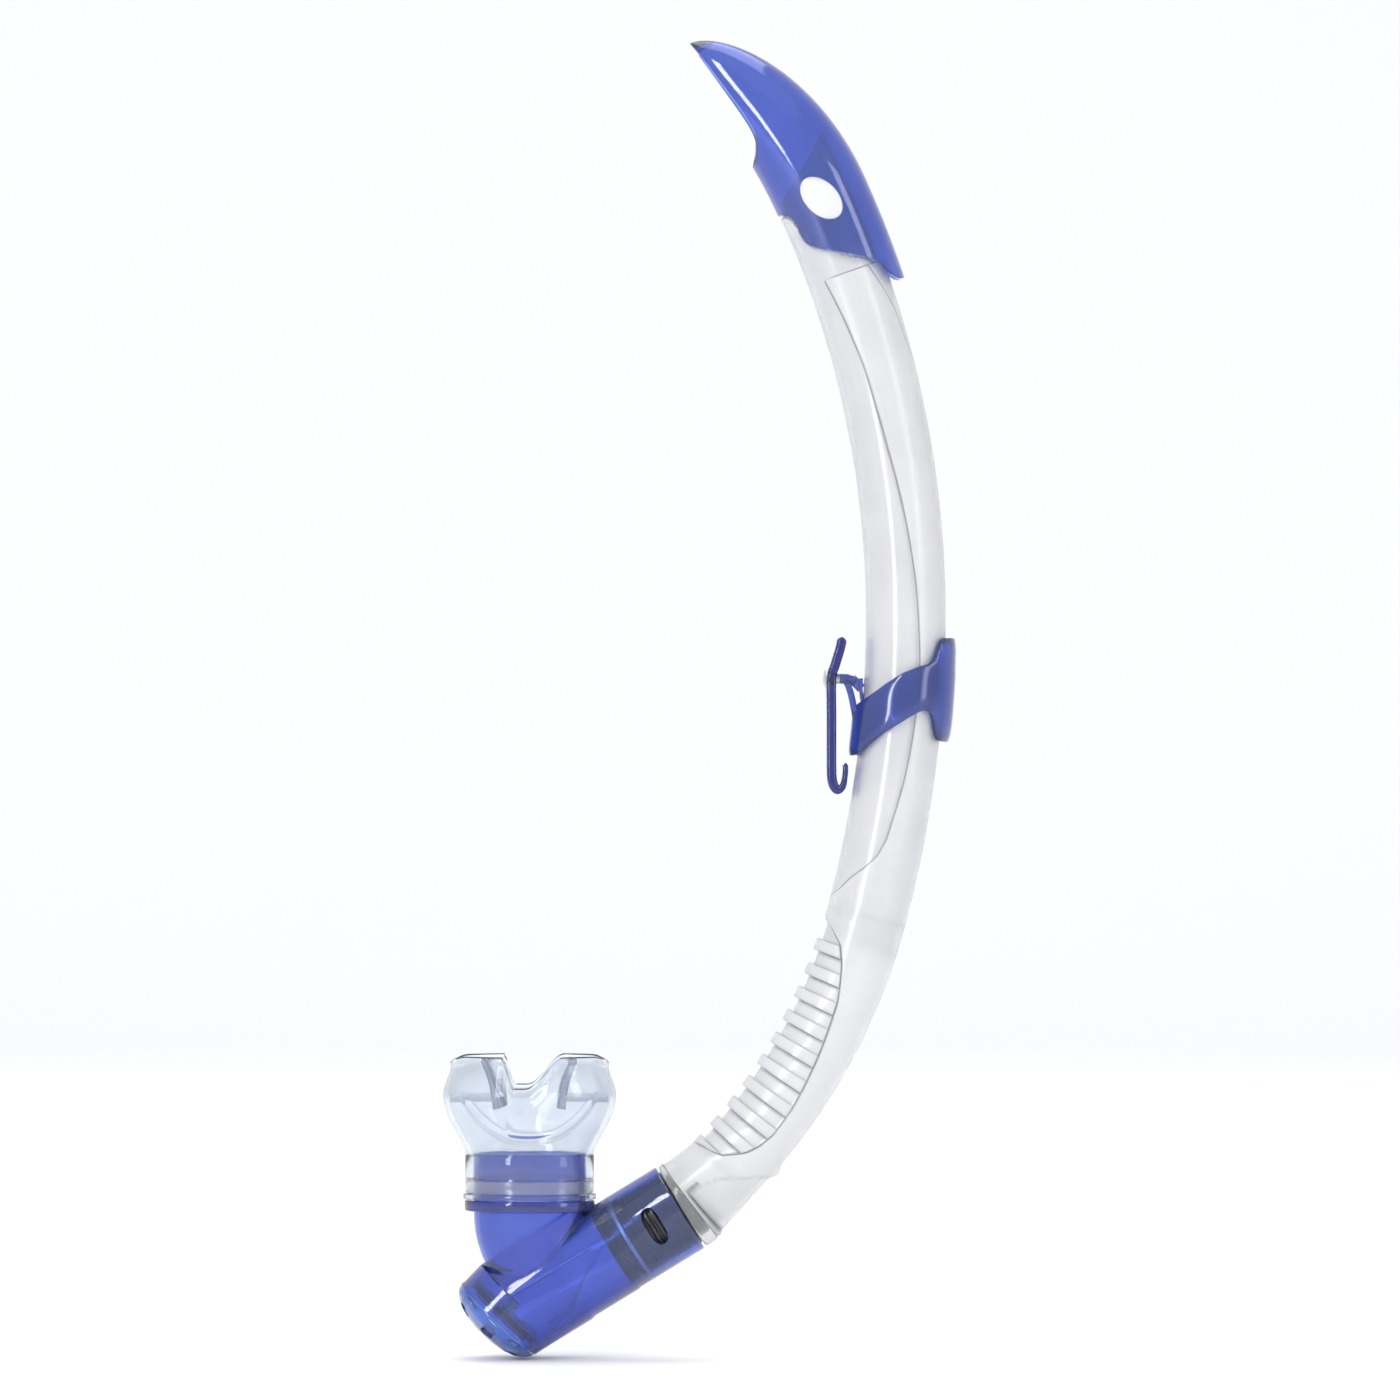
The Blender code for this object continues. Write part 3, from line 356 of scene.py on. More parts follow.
def grid_faces(rows, columns, wrap_rows=False, wrap_columns=False):
    """Corner numbers of the quads of a grid, with its last row or column joined to its first when wrapped."""
    row, column = np.meshgrid(
        np.arange(rows if wrap_rows else rows - 1),
        np.arange(columns if wrap_columns else columns - 1),
        indexing="ij",
    )
    next_row, next_column = (row + 1) % rows, (column + 1) % columns
    corners = [(row, column), (row, next_column), (next_row, next_column), (next_row, column)]
    return np.stack([r * columns + c for r, c in corners], -1).reshape(-1, 4)


def surface(name, points, faces, line=None):
    """An object of the given points, in millimetres, and faces. line is stored on its points as a mask."""
    mesh = bpy.data.meshes.new(name)
    mesh.from_pydata((points.reshape(-1, 3) * MM).tolist(), [], faces.tolist())
    if line is not None:
        mesh.attributes.new("line", "FLOAT", "POINT").data.foreach_set("value", line.ravel())
    clean(mesh)
    return link(name, mesh)


def ring_shell(name, rings):
    """A grid of rings closed both ways, like a torus."""
    return surface(name, rings, grid_faces(*rings.shape[:2], True, True))


def solid(name, rings):
    """A stack of rings closed at both ends by a pole at the mean of the end ring."""
    low = np.broadcast_to(rings[0].mean(0), rings[0].shape)
    high = np.broadcast_to(rings[-1].mean(0), rings[-1].shape)
    rings = np.concatenate([low[None], rings, high[None]])
    return surface(name, rings, grid_faces(*rings.shape[:2], False, True))


def rounded(outline, radius, steps=4):
    """Closed outline whose corners are curves of the second degree that begin a radius before each corner."""
    corner = np.asarray(outline, float)
    back, ahead = np.roll(corner, 1, 0) - corner, np.roll(corner, -1, 0) - corner
    start = corner + back * np.minimum(radius / norm(back), 0.45)
    end = corner + ahead * np.minimum(radius / norm(ahead), 0.45)
    t = np.linspace(0.0, 1.0, steps + 1)[:, None, None]
    curve = (1 - t) ** 2 * start + 2 * t * (1 - t) * corner + t**2 * end
    return curve.transpose(1, 0, 2).reshape(-1, 2)


def turned(name, profile, matrix, closed=True):
    """A profile of (radius, height) turned round the matrix's Z."""
    profile = np.asarray(profile, float)
    angle = np.arange(sizes().around) * 2 * np.pi / sizes().around
    radius, height = profile[:, :1], profile[:, 1:]
    rings = np.stack([radius * np.cos(angle), radius * np.sin(angle), height + 0 * angle], -1)
    rings = to_world(rings, matrix)
    return ring_shell(name, rings) if closed else solid(name, rings)


def oval_rod(name, rows, matrix, count=96, power=2.0):
    """A stack of superellipses: rows of (half width, half depth, height, shift along X)."""
    angle = np.arange(count) * 2 * np.pi / count
    across = np.sign(np.cos(angle)) * np.abs(np.cos(angle)) ** (2 / power)
    deep = np.sign(np.sin(angle)) * np.abs(np.sin(angle)) ** (2 / power)
    width, depth, height, shift = (column[:, None] for column in np.array(rows, float).T)
    rings = np.stack([width * across + shift, depth * deep, height + 0 * angle], -1)
    return solid(name, to_world(rings, matrix))


def slab(name, outline, half_width, edge=0.0, centre=0.0):
    """An outline in XZ widened along Y, with its long edges drawn in by edge."""
    outline = np.asarray(outline, float)
    middle = outline.mean(0)
    inner = middle + (outline - middle) * (1 - edge / norm(outline - middle).mean())
    layers = [
        (inner, -half_width),
        (outline, edge - half_width),
        (outline, half_width - edge),
        (inner, half_width),
    ]
    rings = [np.stack([row[:, 0], np.full(len(row), y + centre), row[:, 1]], -1) for row, y in layers]
    count = len(outline)
    corner = np.arange(count)
    before = np.roll(corner, 1)
    side = np.stack([before, corner, corner + count, before + count], -1)
    sides = (side + count * np.arange(3)[:, None, None]).reshape(-1, 4)
    ends = [corner.tolist(), (corner + 3 * count).tolist()]
    mesh = bpy.data.meshes.new(name)
    mesh.from_pydata((np.concatenate(rings) * MM).tolist(), [], sides.tolist() + ends)
    clean(mesh)
    return link(name, mesh)


def band(name, centre, thickness, half_width, edge=0.5, steps=5):
    """A strip that follows a curve in XZ: its section is a rounded rectangle across Y."""
    centre = np.asarray(centre, float)
    along = np.gradient(centre, axis=0)
    along /= norm(along)
    aside = np.stack([-along[:, 1], along[:, 0]], -1)
    thickness = np.broadcast_to(thickness, (len(centre),))
    section = rounded([(-1.0, -1.0), (1.0, -1.0), (1.0, 1.0), (-1.0, 1.0)], 1.0, steps)
    off = section[:, 0] * (thickness / 2)[:, None]
    side = np.sign(section[:, 1]) * (half_width - edge * (1 - np.abs(section[:, 1])))
    rings = [centre[:, :1] + aside[:, :1] * off, side + 0 * off, centre[:, 1:] + aside[:, 1:] * off]
    return solid(name, np.stack(rings, -1))


def curve_through(points, count):
    """A smooth curve through points: Catmull and Rom's cubic, evenly sampled between each pair."""
    points = np.asarray(points, float)
    padded = np.concatenate([2 * points[:1] - points[1:2], points, 2 * points[-1:] - points[-2:-1]])
    place = np.linspace(0, len(points) - 1, count)
    k = np.minimum(place.astype(int), len(points) - 2)
    t = (place - k)[:, None]
    a, b, c, d = (padded[k + shift] for shift in range(4))
    return 0.5 * (2 * b + (c - a) * t + (2 * a - 5 * b + 4 * c - d) * t**2 + (3 * b - a - 3 * c + d) * t**3)


def carve(obj, tools, operation="DIFFERENCE"):
    """Cuts the tools from the object, or joins them to it, and applies the result."""
    for tool in tools:
        modifier = obj.modifiers.new(tool.name, "BOOLEAN")
        modifier.operation = operation
        modifier.solver = "EXACT"
        modifier.object = tool
    bpy.context.view_layer.update()
    evaluated = obj.evaluated_get(bpy.context.evaluated_depsgraph_get())
    mesh = bpy.data.meshes.new_from_object(evaluated)
    old = obj.data
    obj.modifiers.clear()
    obj.data = mesh
    bpy.data.meshes.remove(old)
    for tool in tools:
        bpy.data.objects.remove(tool, do_unlink=True)
    return obj


def finish(obj, material, body=None, nodes=(), sharp=32.0):
    """Gives a piece its material, its shading, its body, its slot and the CAD nodes that it stands for."""
    obj.data.materials.clear()
    obj.data.materials.append(material)
    obj.data.shade_smooth()
    obj.data.set_sharp_from_angle(angle=math.radians(sharp))
    if body:
        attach(obj, body)
    if nodes:
        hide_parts(*nodes)
    return obj


# Materials


class Value:
    """A shader value with Python's arithmetic: each operation adds a Math node."""

    def __init__(self, tree, socket):
        self.tree = tree
        self.socket = socket

    def math(self, operation, first, second):
        node = self.tree.nodes.new("ShaderNodeMath")
        node.operation = operation
        for socket, value in zip(node.inputs, (first, second)):
            if isinstance(value, Value):
                self.tree.links.new(value.socket, socket)
            else:
                socket.default_value = value
        return Value(self.tree, node.outputs[0])

    def __add__(self, other):
        return self.math("ADD", self, other)

    def __radd__(self, other):
        return self.math("ADD", other, self)

    def __sub__(self, other):
        return self.math("SUBTRACT", self, other)

    def __rsub__(self, other):
        return self.math("SUBTRACT", other, self)

    def __mul__(self, other):
        return self.math("MULTIPLY", self, other)

    def __rmul__(self, other):
        return self.math("MULTIPLY", other, self)


class Finish:
    """A material with one Principled shader."""

    def __init__(self, name, **uniform):
        self.material = bpy.data.materials.new(name)
        self.material.use_nodes = True
        self.tree = self.material.node_tree
        self.shader = self.tree.nodes["Principled BSDF"]
        self.output = self.tree.nodes["Material Output"]
        for key, value in uniform.items():
            self.shader.inputs[key.replace("_", " ")].default_value = value

    def node(self, kind, output=0, stops=None, values=None, **settings):
        """Adds a node: its settings first, then a ramp's stops, then the values or links of its sockets."""
        node = self.tree.nodes.new(kind)
        for key, value in settings.items():
            setattr(node, key, value)
        if stops:
            ramp = node.color_ramp
            for k, (place, colour) in enumerate(stops):
                stop = ramp.elements[k] if k < 2 else ramp.elements.new(place)
                stop.position = place
                stop.color = (*colour, 1.0)
        for key, value in (values or {}).items():
            if isinstance(value, Value):
                self.tree.links.new(value.socket, node.inputs[key])
            else:
                node.inputs[key].default_value = value
        return Value(self.tree, node.outputs[output])

    def set(self, name, value):
        self.tree.links.new(value.socket, self.shader.inputs[name])

    def place(self):
        return self.node("ShaderNodeTexCoord", output="Object")

    def noise(self, scale, detail=3.0, roughness=0.5):
        return self.node(
            "ShaderNodeTexNoise",
            values={"Vector": self.place(), "Scale": scale, "Detail": detail, "Roughness": roughness},
        )

    def tint(self, low, high, mask):
        """Colour that runs from low to high with the mask."""
        return self.node("ShaderNodeValToRGB", stops=((0.3, low), (0.7, high)), values={"Fac": mask})

    def bump(self, height, distance, strength=1.0):
        values = {"Height": height, "Distance": distance, "Strength": strength}
        self.set("Normal", self.node("ShaderNodeBump", values=values))

    def absorb(self, colour, density):
        """Absorption inside the plastic, so that a long way through it looks deeper."""
        volume = self.tree.nodes.new("ShaderNodeVolumeAbsorption")
        volume.inputs["Color"].default_value = (*colour, 1.0)
        volume.inputs["Density"].default_value = density
        self.tree.links.new(volume.outputs[0], self.output.inputs["Volume"])


def shade(colour, factor):
    return tuple(min(1.0, value * factor) for value in colour)


def clear_plastic(name, colour, milk, roughness, density):
    """Clear moulded plastic: faint clouding and flow marks, polished skin, slightly milky body."""
    made = Finish(name, Transmission_Weight=1.0 - milk, IOR=1.45, Specular_IOR_Level=0.5)
    cloud = made.noise(60.0)
    line = made.node("ShaderNodeAttribute", output="Fac", attribute_name="line")
    tone = made.tint(shade(colour, 0.97), shade(colour, 1.03), cloud)
    # Painted shade: the colour is darkened by LINE_SHADE where the line mask is high.
    line_shaded = {"Vector": tone, "Scale": 1.0 - LINE_SHADE * line}
    made.set("Base Color", made.node("ShaderNodeVectorMath", operation="SCALE", values=line_shaded))
    scuff = made.noise(900.0, 2.0)
    made.set("Roughness", roughness + 0.05 * cloud + 0.05 * scuff)
    made.bump(made.noise(220.0, 2.0) + 0.3 * scuff, 0.00004, 0.35)
    if density:
        made.absorb(shade(colour, 0.55), density)
    return made.material


def clear_blue(name, colour, roughness, density, milk=0.06):
    """Translucent blue plastic: tint by depth, fine scratches in its polish and faint flow marks."""
    made = Finish(name, Transmission_Weight=1.0 - milk, IOR=1.47, Coat_Weight=0.3, Coat_Roughness=0.04)
    flow = made.noise(45.0, 4.0)
    light = tuple(value**0.62 for value in colour)
    made.set("Base Color", made.tint(shade(light, 0.92), shade(light, 1.06), flow))
    scratch = made.noise(700.0, 3.0, 0.7)
    made.set("Roughness", roughness + 0.06 * scratch)
    made.bump(flow + 0.25 * scratch, 0.00006, 0.4)
    made.absorb(colour, density)
    return made.material


def silicone(name, colour, milk, roughness, density=0.0):
    """Clear silicone: soft gloss, slight bloom and faint waviness."""
    made = Finish(name, Transmission_Weight=1.0 - milk, IOR=1.41, Specular_IOR_Level=0.5)
    bloom = made.noise(120.0, 4.0)
    made.set("Base Color", made.tint(shade(colour, 0.96), shade(colour, 1.03), bloom))
    made.set("Roughness", roughness + 0.08 * bloom)
    made.bump(bloom, 0.00006, 0.4)
    if density:
        made.absorb((0.50, 0.56, 0.64), density)
    return made.material


def black_plastic(name, colour, roughness):
    """Black moulded plastic with fine grain and rubbed patches."""
    made = Finish(name, IOR=1.5)
    rub = made.noise(150.0, 4.0)
    made.set("Base Color", made.tint(colour, shade(colour, 2.5), rub))
    grain = made.noise(1500.0, 2.0)
    made.set("Roughness", roughness + 0.12 * rub + 0.05 * grain)
    made.bump(grain, 0.00002, 0.5)
    return made.material


def spring_steel(name):
    """Drawn steel: fine lines and small changes of gloss."""
    made = Finish(name, Metallic=1.0)
    stain = made.noise(300.0, 4.0)
    made.set("Base Color", made.tint((0.50, 0.50, 0.52), (0.68, 0.68, 0.70), stain))
    made.set("Roughness", 0.22 + 0.18 * stain)
    made.bump(made.noise(2500.0, 2.0), 0.00001, 0.5)
    return made.material


def backdrop_paint(name, colour):
    """Matt paper with the faintest change of tone."""
    made = Finish(name, Roughness=0.9, Specular_IOR_Level=0.1)
    tone = made.noise(3.0)
    made.set("Base Color", made.tint(shade(colour, 0.995), colour, tone))
    return made.material


def paint(kind):
    """The material of a kind, made once."""
    found = bpy.data.materials.get(kind)
    if found:
        return found
    tint = colours()
    recipes = {
        "clear_barrel": lambda: clear_plastic(kind, tint.clear, 0.28, 0.10, 60.0),
        "clear_sleeve": lambda: clear_plastic(kind, tint.clear, 0.40, 0.18, 70.0),
        "clear_cuff": lambda: clear_plastic(kind, tint.clear, 0.10, 0.08, 60.0),
        "clear_button": lambda: clear_plastic(kind, tint.clear, 0.55, 0.06, 0.0),
        "band_clear": lambda: clear_plastic(kind, tint.clear, 0.05, 0.12, 0.0),
        "guard_blue": lambda: clear_blue(kind, tint.blue, 0.05, 620.0),
        "chamber_blue": lambda: clear_blue(kind, tint.blue, 0.05, 560.0),
        "cover_blue": lambda: clear_blue(kind, (0.16, 0.34, 0.80), 0.06, 320.0),
        "strap_blue": lambda: clear_blue(kind, tint.deep_blue, 0.12, 220.0, 0.10),
        "hook_blue": lambda: clear_blue(kind, tint.deep_blue, 0.08, 260.0, 0.02),
        "seat_blue": lambda: clear_blue(kind, (0.08, 0.12, 0.45), 0.15, 600.0),
        "cup_silicone": lambda: silicone(kind, tint.silicone, 0.03, 0.02, 80.0),
        "disc_silicone": lambda: silicone(kind, tint.silicone, 0.4, 0.25),
        "spigot_black": lambda: black_plastic(kind, tint.black, 0.18),
        "ring_rubber": lambda: black_plastic(kind, shade(tint.black, 1.8), 0.45),
        "pin_steel": lambda: spring_steel(kind),
        "stage_paper": lambda: backdrop_paint(kind, tint.backdrop),
    }
    return recipes[kind]()


# Barrel


def mirrored(half):
    """Angles of a whole ring from rows of half rings that run from 0 to pi."""
    return np.concatenate([half, -half[:, -2:0:-1]], 1)


def guard_foot_distance(out):
    """Distance of the guard's lower edge along the tube, against the place across the tube."""
    foot = [(-14.0, 338.7), (-10.4, 336.6), (-9.2, 333.0), (-7.4, 324.7)]
    foot += [(8.5, 314.8), (11.5, 310.4), (14.5, 306.6)]
    return table(foot, out)


def make_barrel():
    """Hard tube. Radius is the full one outside the panel's edge, less the panel's seat inside it, and the
    shoulder under the guard; its lower end is a nipple inside the flexible section."""
    rows = np.concatenate(
        [
            [FLEX_TOP - NIPPLE_LENGTH, FLEX_TOP - NIPPLE_LENGTH + 0.4],
            np.linspace(FLEX_TOP - 0.2, 134.0, 40),
            np.linspace(136.0, 298.0, 62),
            np.linspace(300.0, TUBE_TOP, 70),
        ]
    )
    edge = np.radians(table(PANEL_EDGE, rows)) + 0.12 / TUBE_RADIUS
    edge = np.where(rows > PANEL_TOP + 0.2, 1.9, edge)
    edge = np.minimum(edge, np.pi)[:, None]
    inside = np.linspace(0.0, 1.0, 34) * edge
    lip = edge + (np.pi - edge) * 0.004
    outside = lip + (np.pi - lip) * np.linspace(0.0, 1.0, 30) ** 1.3
    half = np.concatenate([inside, edge, outside], 1)
    angle = mirrored(half)
    columns = half.shape[1]
    seat = np.zeros(columns, bool)
    seat[: inside.shape[1]] = True
    seat = np.concatenate([seat, seat[-2:0:-1]])[None]
    share = np.clip((rows - rows[0]) / (TUBE_TOP - rows[0]), 0, 1)[:, None]
    lean = TUBE_TOP_SLOPE * smooth(0.85, 1.0, share)
    s = rows[:, None] + lean * np.cos(angle)
    floor = TUBE_RADIUS - PANEL_THICKNESS - GAP
    strip = smooth(0.0, 1.2, (np.pi - edge) * TUBE_RADIUS)
    full = floor + (TUBE_RADIUS - floor) * strip + 0 * angle
    radius = np.where(seat & (rows < PANEL_TOP + 0.2)[:, None], floor, full)
    radius = np.where((rows < FLEX_TOP)[:, None], NIPPLE_RADIUS, radius)
    above = smooth(-0.1, 0.1, s - guard_foot_distance(radius * np.cos(angle)) + 0.5)
    radius = radius + (SHOULDER_RADIUS - radius) * above * (rows > 300.0)[:, None]
    bore = NIPPLE_BORE + (TUBE_RADIUS - TUBE_WALL - NIPPLE_BORE) * smooth(110.0, 114.0, s)
    outer = ROUTE.wrap(s, angle, radius)
    inner = ROUTE.wrap(s, angle, bore)
    barrel = ring_shell("barrel_shell", np.concatenate([outer, inner[::-1]]))
    finish(barrel, paint("clear_barrel"), "barrel", ["barrel"])


# Flexible sleeve and panel


def rib_rows():
    """Distances of the rows over the ribs: close together at each rib's two shoulders."""
    half = RIB_WIDTH / 2
    steps = np.array([-half - 0.35, -half - 0.12, -half + 0.05, -half + 0.3, -0.6, 0.6])
    steps = np.concatenate([steps, -steps[3::-1]])
    middles = RIB_FIRST + RIB_PITCH * np.arange(RIB_COUNT)
    valley = np.array([RIB_PITCH / 2 - 1.0, RIB_PITCH / 2 + 1.0])
    return np.unique(np.round(middles[:, None] + np.append(steps, valley), 3))


def rib_away(s):
    """Distance past the nearest rib's middle."""
    nearest = np.clip(np.round((s - RIB_FIRST) / RIB_PITCH), 0, RIB_COUNT - 1)
    return s - RIB_FIRST - nearest * RIB_PITCH


def rib_wave(s):
    """1 on a rib, 0 between ribs, from the distance to the nearest rib's middle."""
    return 1 - smooth(RIB_WIDTH / 2 - 0.15, RIB_WIDTH / 2 + 0.2, np.abs(rib_away(s)))


def past_inlay(s, turn):
    """Distance round the tube past the inlay's edge, and whether the place is among the ribs."""
    past = (turn - np.radians(table(INLAY_EDGE, s))) * TUBE_RADIUS
    return past, (s > INLAY_START) & (s < INLAY_TOP)


def cuff_outside(s):
    """Radius of the cuff and of the sleeve's foot against distance: wide at the mouth, slim at the waist."""
    return CUFF_WAIST + (CUFF_MOUTH - 0.3 - CUFF_WAIST) * (1 - smooth(0.0, 24.0, s)) ** 1.3


def window_depth(s, turn):
    """Depth of the scooped window on the outer half of the sleeve's foot: deepest at its lower corner."""
    top = table(CUFF_WINDOW, np.degrees(turn))
    within = smooth(0.0, 0.9, top - s) * smooth(0.0, 0.55, s - SLEEVE_START - 0.9)
    corner = 1 - smooth(math.radians(98.0), math.radians(103.5), turn)
    fade = 0.35 + 0.65 * (1 - smooth(4.0, 20.0, s))
    return WINDOW_DEPTH * within * corner * fade


def heel_lip(s, turn):
    """Small bead at the outside of the J where the sleeve's window ends."""
    return 1.1 * smooth(24.0, 27.2, s) * (1 - smooth(27.2, 31.5, s)) * hill(turn, 0.6)


def sleeve_outside(s, angle):
    """Radius of the soft sleeve: cuff, smooth back, a line along the ribbed inlay, ribs, then the panel."""
    turn = np.abs(angle)
    foot = cuff_outside(s) - window_depth(s, turn) + heel_lip(s, turn)
    base = np.where(s < FOOT_TOP, foot, TUBE_RADIUS)
    past, ribbed = past_inlay(s, turn)
    line = LINE_DEPTH * hill(past, LINE_WIDTH)
    depth = 0.65 + RIB_VALLEY * smooth(math.radians(80.0), math.radians(140.0), turn)
    proud = RIB_PROUD * smooth(math.radians(85.0), math.radians(150.0), turn)
    wave = rib_wave(s)
    inlay = smooth(0.1, 0.9, past) * smooth(INLAY_START, 19.0, s) * (1 - smooth(103.0, 106.0, s))
    crest_gap = 0.25 * (1 - smooth(0.6, 1.4, past)) * smooth(0.2, 0.5, past)
    ribs = inlay * (wave * (proud - crest_gap) - (1 - wave) * depth)
    notch = line * smooth(NOTCH_START, NOTCH_START + 3.0, s)
    return base + np.where(ribbed, ribs - line, -notch)


def sleeve_shade_lines(s, angle):
    """Mask of the fine lines on the sleeve: round the inlay and the window, and along each rib."""
    turn = np.abs(angle)
    past, ribbed = past_inlay(s, turn)
    away = rib_away(s)
    across = hill(away + RIB_WIDTH / 2 + 0.1, 0.28) + 0.35 * hill(away - RIB_WIDTH / 2 - 0.1, 0.25)
    inside = smooth(0.0, 0.3, past) * smooth(18.5, 19.5, s) * (1 - smooth(102.0, 104.0, s))
    round_inlay = hill(past, 0.3) * (s < 104.0)
    notch = 0.6 * hill(past, 0.25) * smooth(NOTCH_START, NOTCH_START + 3.0, s)
    top = table(CUFF_WINDOW, np.degrees(turn))
    low = hill(s - SLEEVE_START - 1.25, 0.5) * (1 - smooth(1.72, 1.80, turn))
    corner = hill((turn - 1.79) * TUBE_RADIUS, 0.55) * (s < 9.5) * (s > SLEEVE_START + 1.0)
    upper = 0.2 * hill(s - top, 0.6) * (turn > 0.35) * (turn < 1.8)
    window = np.where(s < FOOT_TOP, np.maximum(np.maximum(low, corner), upper), 0.0)
    lines = np.where(ribbed, np.maximum(round_inlay, across * inside), 0.0)
    strip = 0.9 * hill((np.radians(table(PANEL_EDGE, s)) - turn) * TUBE_RADIUS, 0.3) * (s > 112.7)
    return np.clip(np.maximum(np.maximum(lines, notch), np.maximum(window, strip)), 0.0, 1.0)


def sleeve_inside(s):
    """Radius of the sleeve's inside: over the cuff's and the barrel's nipples, and the panel's seat."""
    nipple = NIPPLE_RADIUS + GAP
    low_nipple = FLEX_START + NIPPLE_LENGTH
    middle = TUBE_RADIUS - RIB_VALLEY - 0.65 - 0.75
    radius = np.where(s < FLEX_START, nipple + 0.2, nipple)
    radius = radius + (middle - nipple) * smooth(low_nipple, low_nipple + 1.5, s)
    radius = radius + (nipple - middle) * smooth(FLEX_TOP - NIPPLE_LENGTH - 1.5, FLEX_TOP - NIPPLE_LENGTH, s)
    return radius + (TUBE_RADIUS - PANEL_THICKNESS - nipple) * smooth(FLEX_TOP, FLEX_TOP + 0.3, s)


def make_sleeve():
    """Soft sleeve and panel in one: a tube over the flexible section whose inner side opens at the panel's
    cusp, past which it is a strip that narrows along the panel's edge."""
    rows = np.concatenate(
        [
            [SLEEVE_START, SLEEVE_START + 0.25],
            np.linspace(SLEEVE_START + 0.7, 16.0, 22),
            rib_rows(),
            np.linspace(99.5, 111.8, 14),
            np.linspace(112.3, 134.0, 40),
            np.linspace(136.0, 280.0, 50),
            np.linspace(281.5, PANEL_TOP, 24),
        ]
    )
    cusp = np.searchsorted(rows, PANEL_EDGE[0][0], side="right") - 1
    edge = np.where(rows <= PANEL_EDGE[0][0], np.pi, np.radians(table(PANEL_EDGE, rows)))[:, None]
    inlay = np.radians(table(INLAY_EDGE, rows))[:, None]
    seam = np.where((rows < 106.3)[:, None], inlay, np.minimum(inlay, edge * 0.97))
    close = np.array([-0.45, -0.2, 0.0, 0.2, 0.45, 0.9]) / TUBE_RADIUS
    start = np.maximum(seam - 0.8 / TUBE_RADIUS, 0.5 * seam)
    lower = np.linspace(0.0, 1.0, 40) * start
    upper = np.minimum(seam + 1.3 / TUBE_RADIUS, edge)
    upper = upper + (edge - upper) * np.linspace(0.0, 1.0, 22)
    half = np.concatenate([lower, np.minimum(seam + close, edge), upper], 1)
    half = np.maximum.accumulate(half, axis=1)
    angle = np.concatenate([-half[:, :0:-1], half], 1)
    s = rows[:, None] + 0 * angle
    outer = ROUTE.wrap(s, angle, sleeve_outside(s, angle))
    inner = ROUTE.wrap(s, angle, sleeve_inside(s))
    count, columns = s.shape
    faces = grid_faces(count, columns)
    across = count * columns
    back = faces[:, ::-1] + across
    near = np.arange(columns - 1)
    ends = []
    for row in (0, count - 1):
        low = row * columns + near
        ends.append(np.stack([low, low + 1, low + 1 + across, low + across], -1))
    for column in (0, columns - 1):
        low = np.arange(cusp, count - 1) * columns + column
        ends.append(np.stack([low, low + columns, low + columns + across, low + across], -1))
    # Painted shade along the sleeve's grooves and edges on its outer face, none on its inner face.
    line = np.stack([sleeve_shade_lines(s, angle), 0 * s])
    sleeve = surface("soft_sleeve", np.stack([outer, inner]), np.concatenate([faces, back, *ends]), line)
    finish(sleeve, paint("clear_sleeve"), None, ["flex_section", "back_panel"])
    bend = (FLEX_TOP - NIPPLE_LENGTH - 1.0, FLEX_START + NIPPLE_LENGTH + 1.0)
    start, end = (tuple(ROUTE.point(place) * MM) for place in bend)
    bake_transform(sleeve)


def make_cuff():
    """Hard cuff under the sleeve's foot: its lip shows as a rounded band, the rest is a nipple inside."""
    lip = SLEEVE_START - 0.15
    profile = [
        (NIPPLE_BORE, FLEX_START + NIPPLE_LENGTH),
        (NIPPLE_RADIUS, FLEX_START + NIPPLE_LENGTH),
        (NIPPLE_RADIUS, lip),
        (CUFF_MOUTH, lip),
        (CUFF_MOUTH, 0.05),
        (11.2, 0.05),
        (11.2, 7.6),
        (NIPPLE_BORE, 7.6),
    ]
    profile = rounded(profile, 0.7)
    angle = (np.arange(sizes().around) * 2 * np.pi / sizes().around)[None]
    rings = ROUTE.wrap(profile[:, 1:] + 0 * angle, angle, profile[:, :1] + 0 * angle)
    finish(ring_shell("cuff_shell", rings), paint("clear_cuff"), "lower_tube", ["flex_cuff"])


# Splash guard

GUARD_BACK = 16.9
GUARD_FRONT = 13.0
GUARD_HALF_WIDTH = 14.2
GUARD_WALL = 1.5
GUARD_SHOULDER = 339.0
GUARD_TIP = 401.3
GUARD_TIP_OUT = -9.6
GUARD_FOOT = (
    (338.7, -14.5),
    (338.5, -13.0),
    (336.6, -10.4),
    (333.0, -9.2),
    (324.7, -7.4),
    (314.8, 8.5),
    (310.4, 11.5),
    (306.6, 14.5),
    (306.4, 19.0),
)
INTAKE = ((403.0, -9.8), (385.0, -8.9), (367.7, -7.9), (362.0, -9.4), (357.2, -12.8), (355.0, -15.0))
BUTTON = (337.4, 1.2)
BUTTON_TURN = math.radians(135.0)
BUTTON_LENGTH = 7.8
BUTTON_WIDTH = 5.0


def guard_rings(rows, inset):
    """Ovals along the tube: the outer wall keeps its place up to the shoulder, then curves in to the tip as
    one less t squared to a power, and the width shrinks in the same way."""
    t = np.clip((rows - GUARD_SHOULDER) / (GUARD_TIP - GUARD_SHOULDER), 0.0, 0.9995)[:, None]
    back = GUARD_TIP_OUT + (GUARD_BACK - GUARD_TIP_OUT) * (1 - t * t) ** 0.66
    start = (GUARD_BACK - GUARD_FRONT) / 2
    middle = start + (GUARD_TIP_OUT - start) * t * t
    depth = np.maximum(back - middle - inset, 0.02)
    width = np.maximum(GUARD_HALF_WIDTH * (1 - t**2.2) ** 0.6 - inset, 0.02)
    angle = np.arange(112) * 2 * np.pi / 112
    return ROUTE.point(rows[:, None] + 0 * angle, middle + depth * np.cos(angle), width * np.sin(angle))


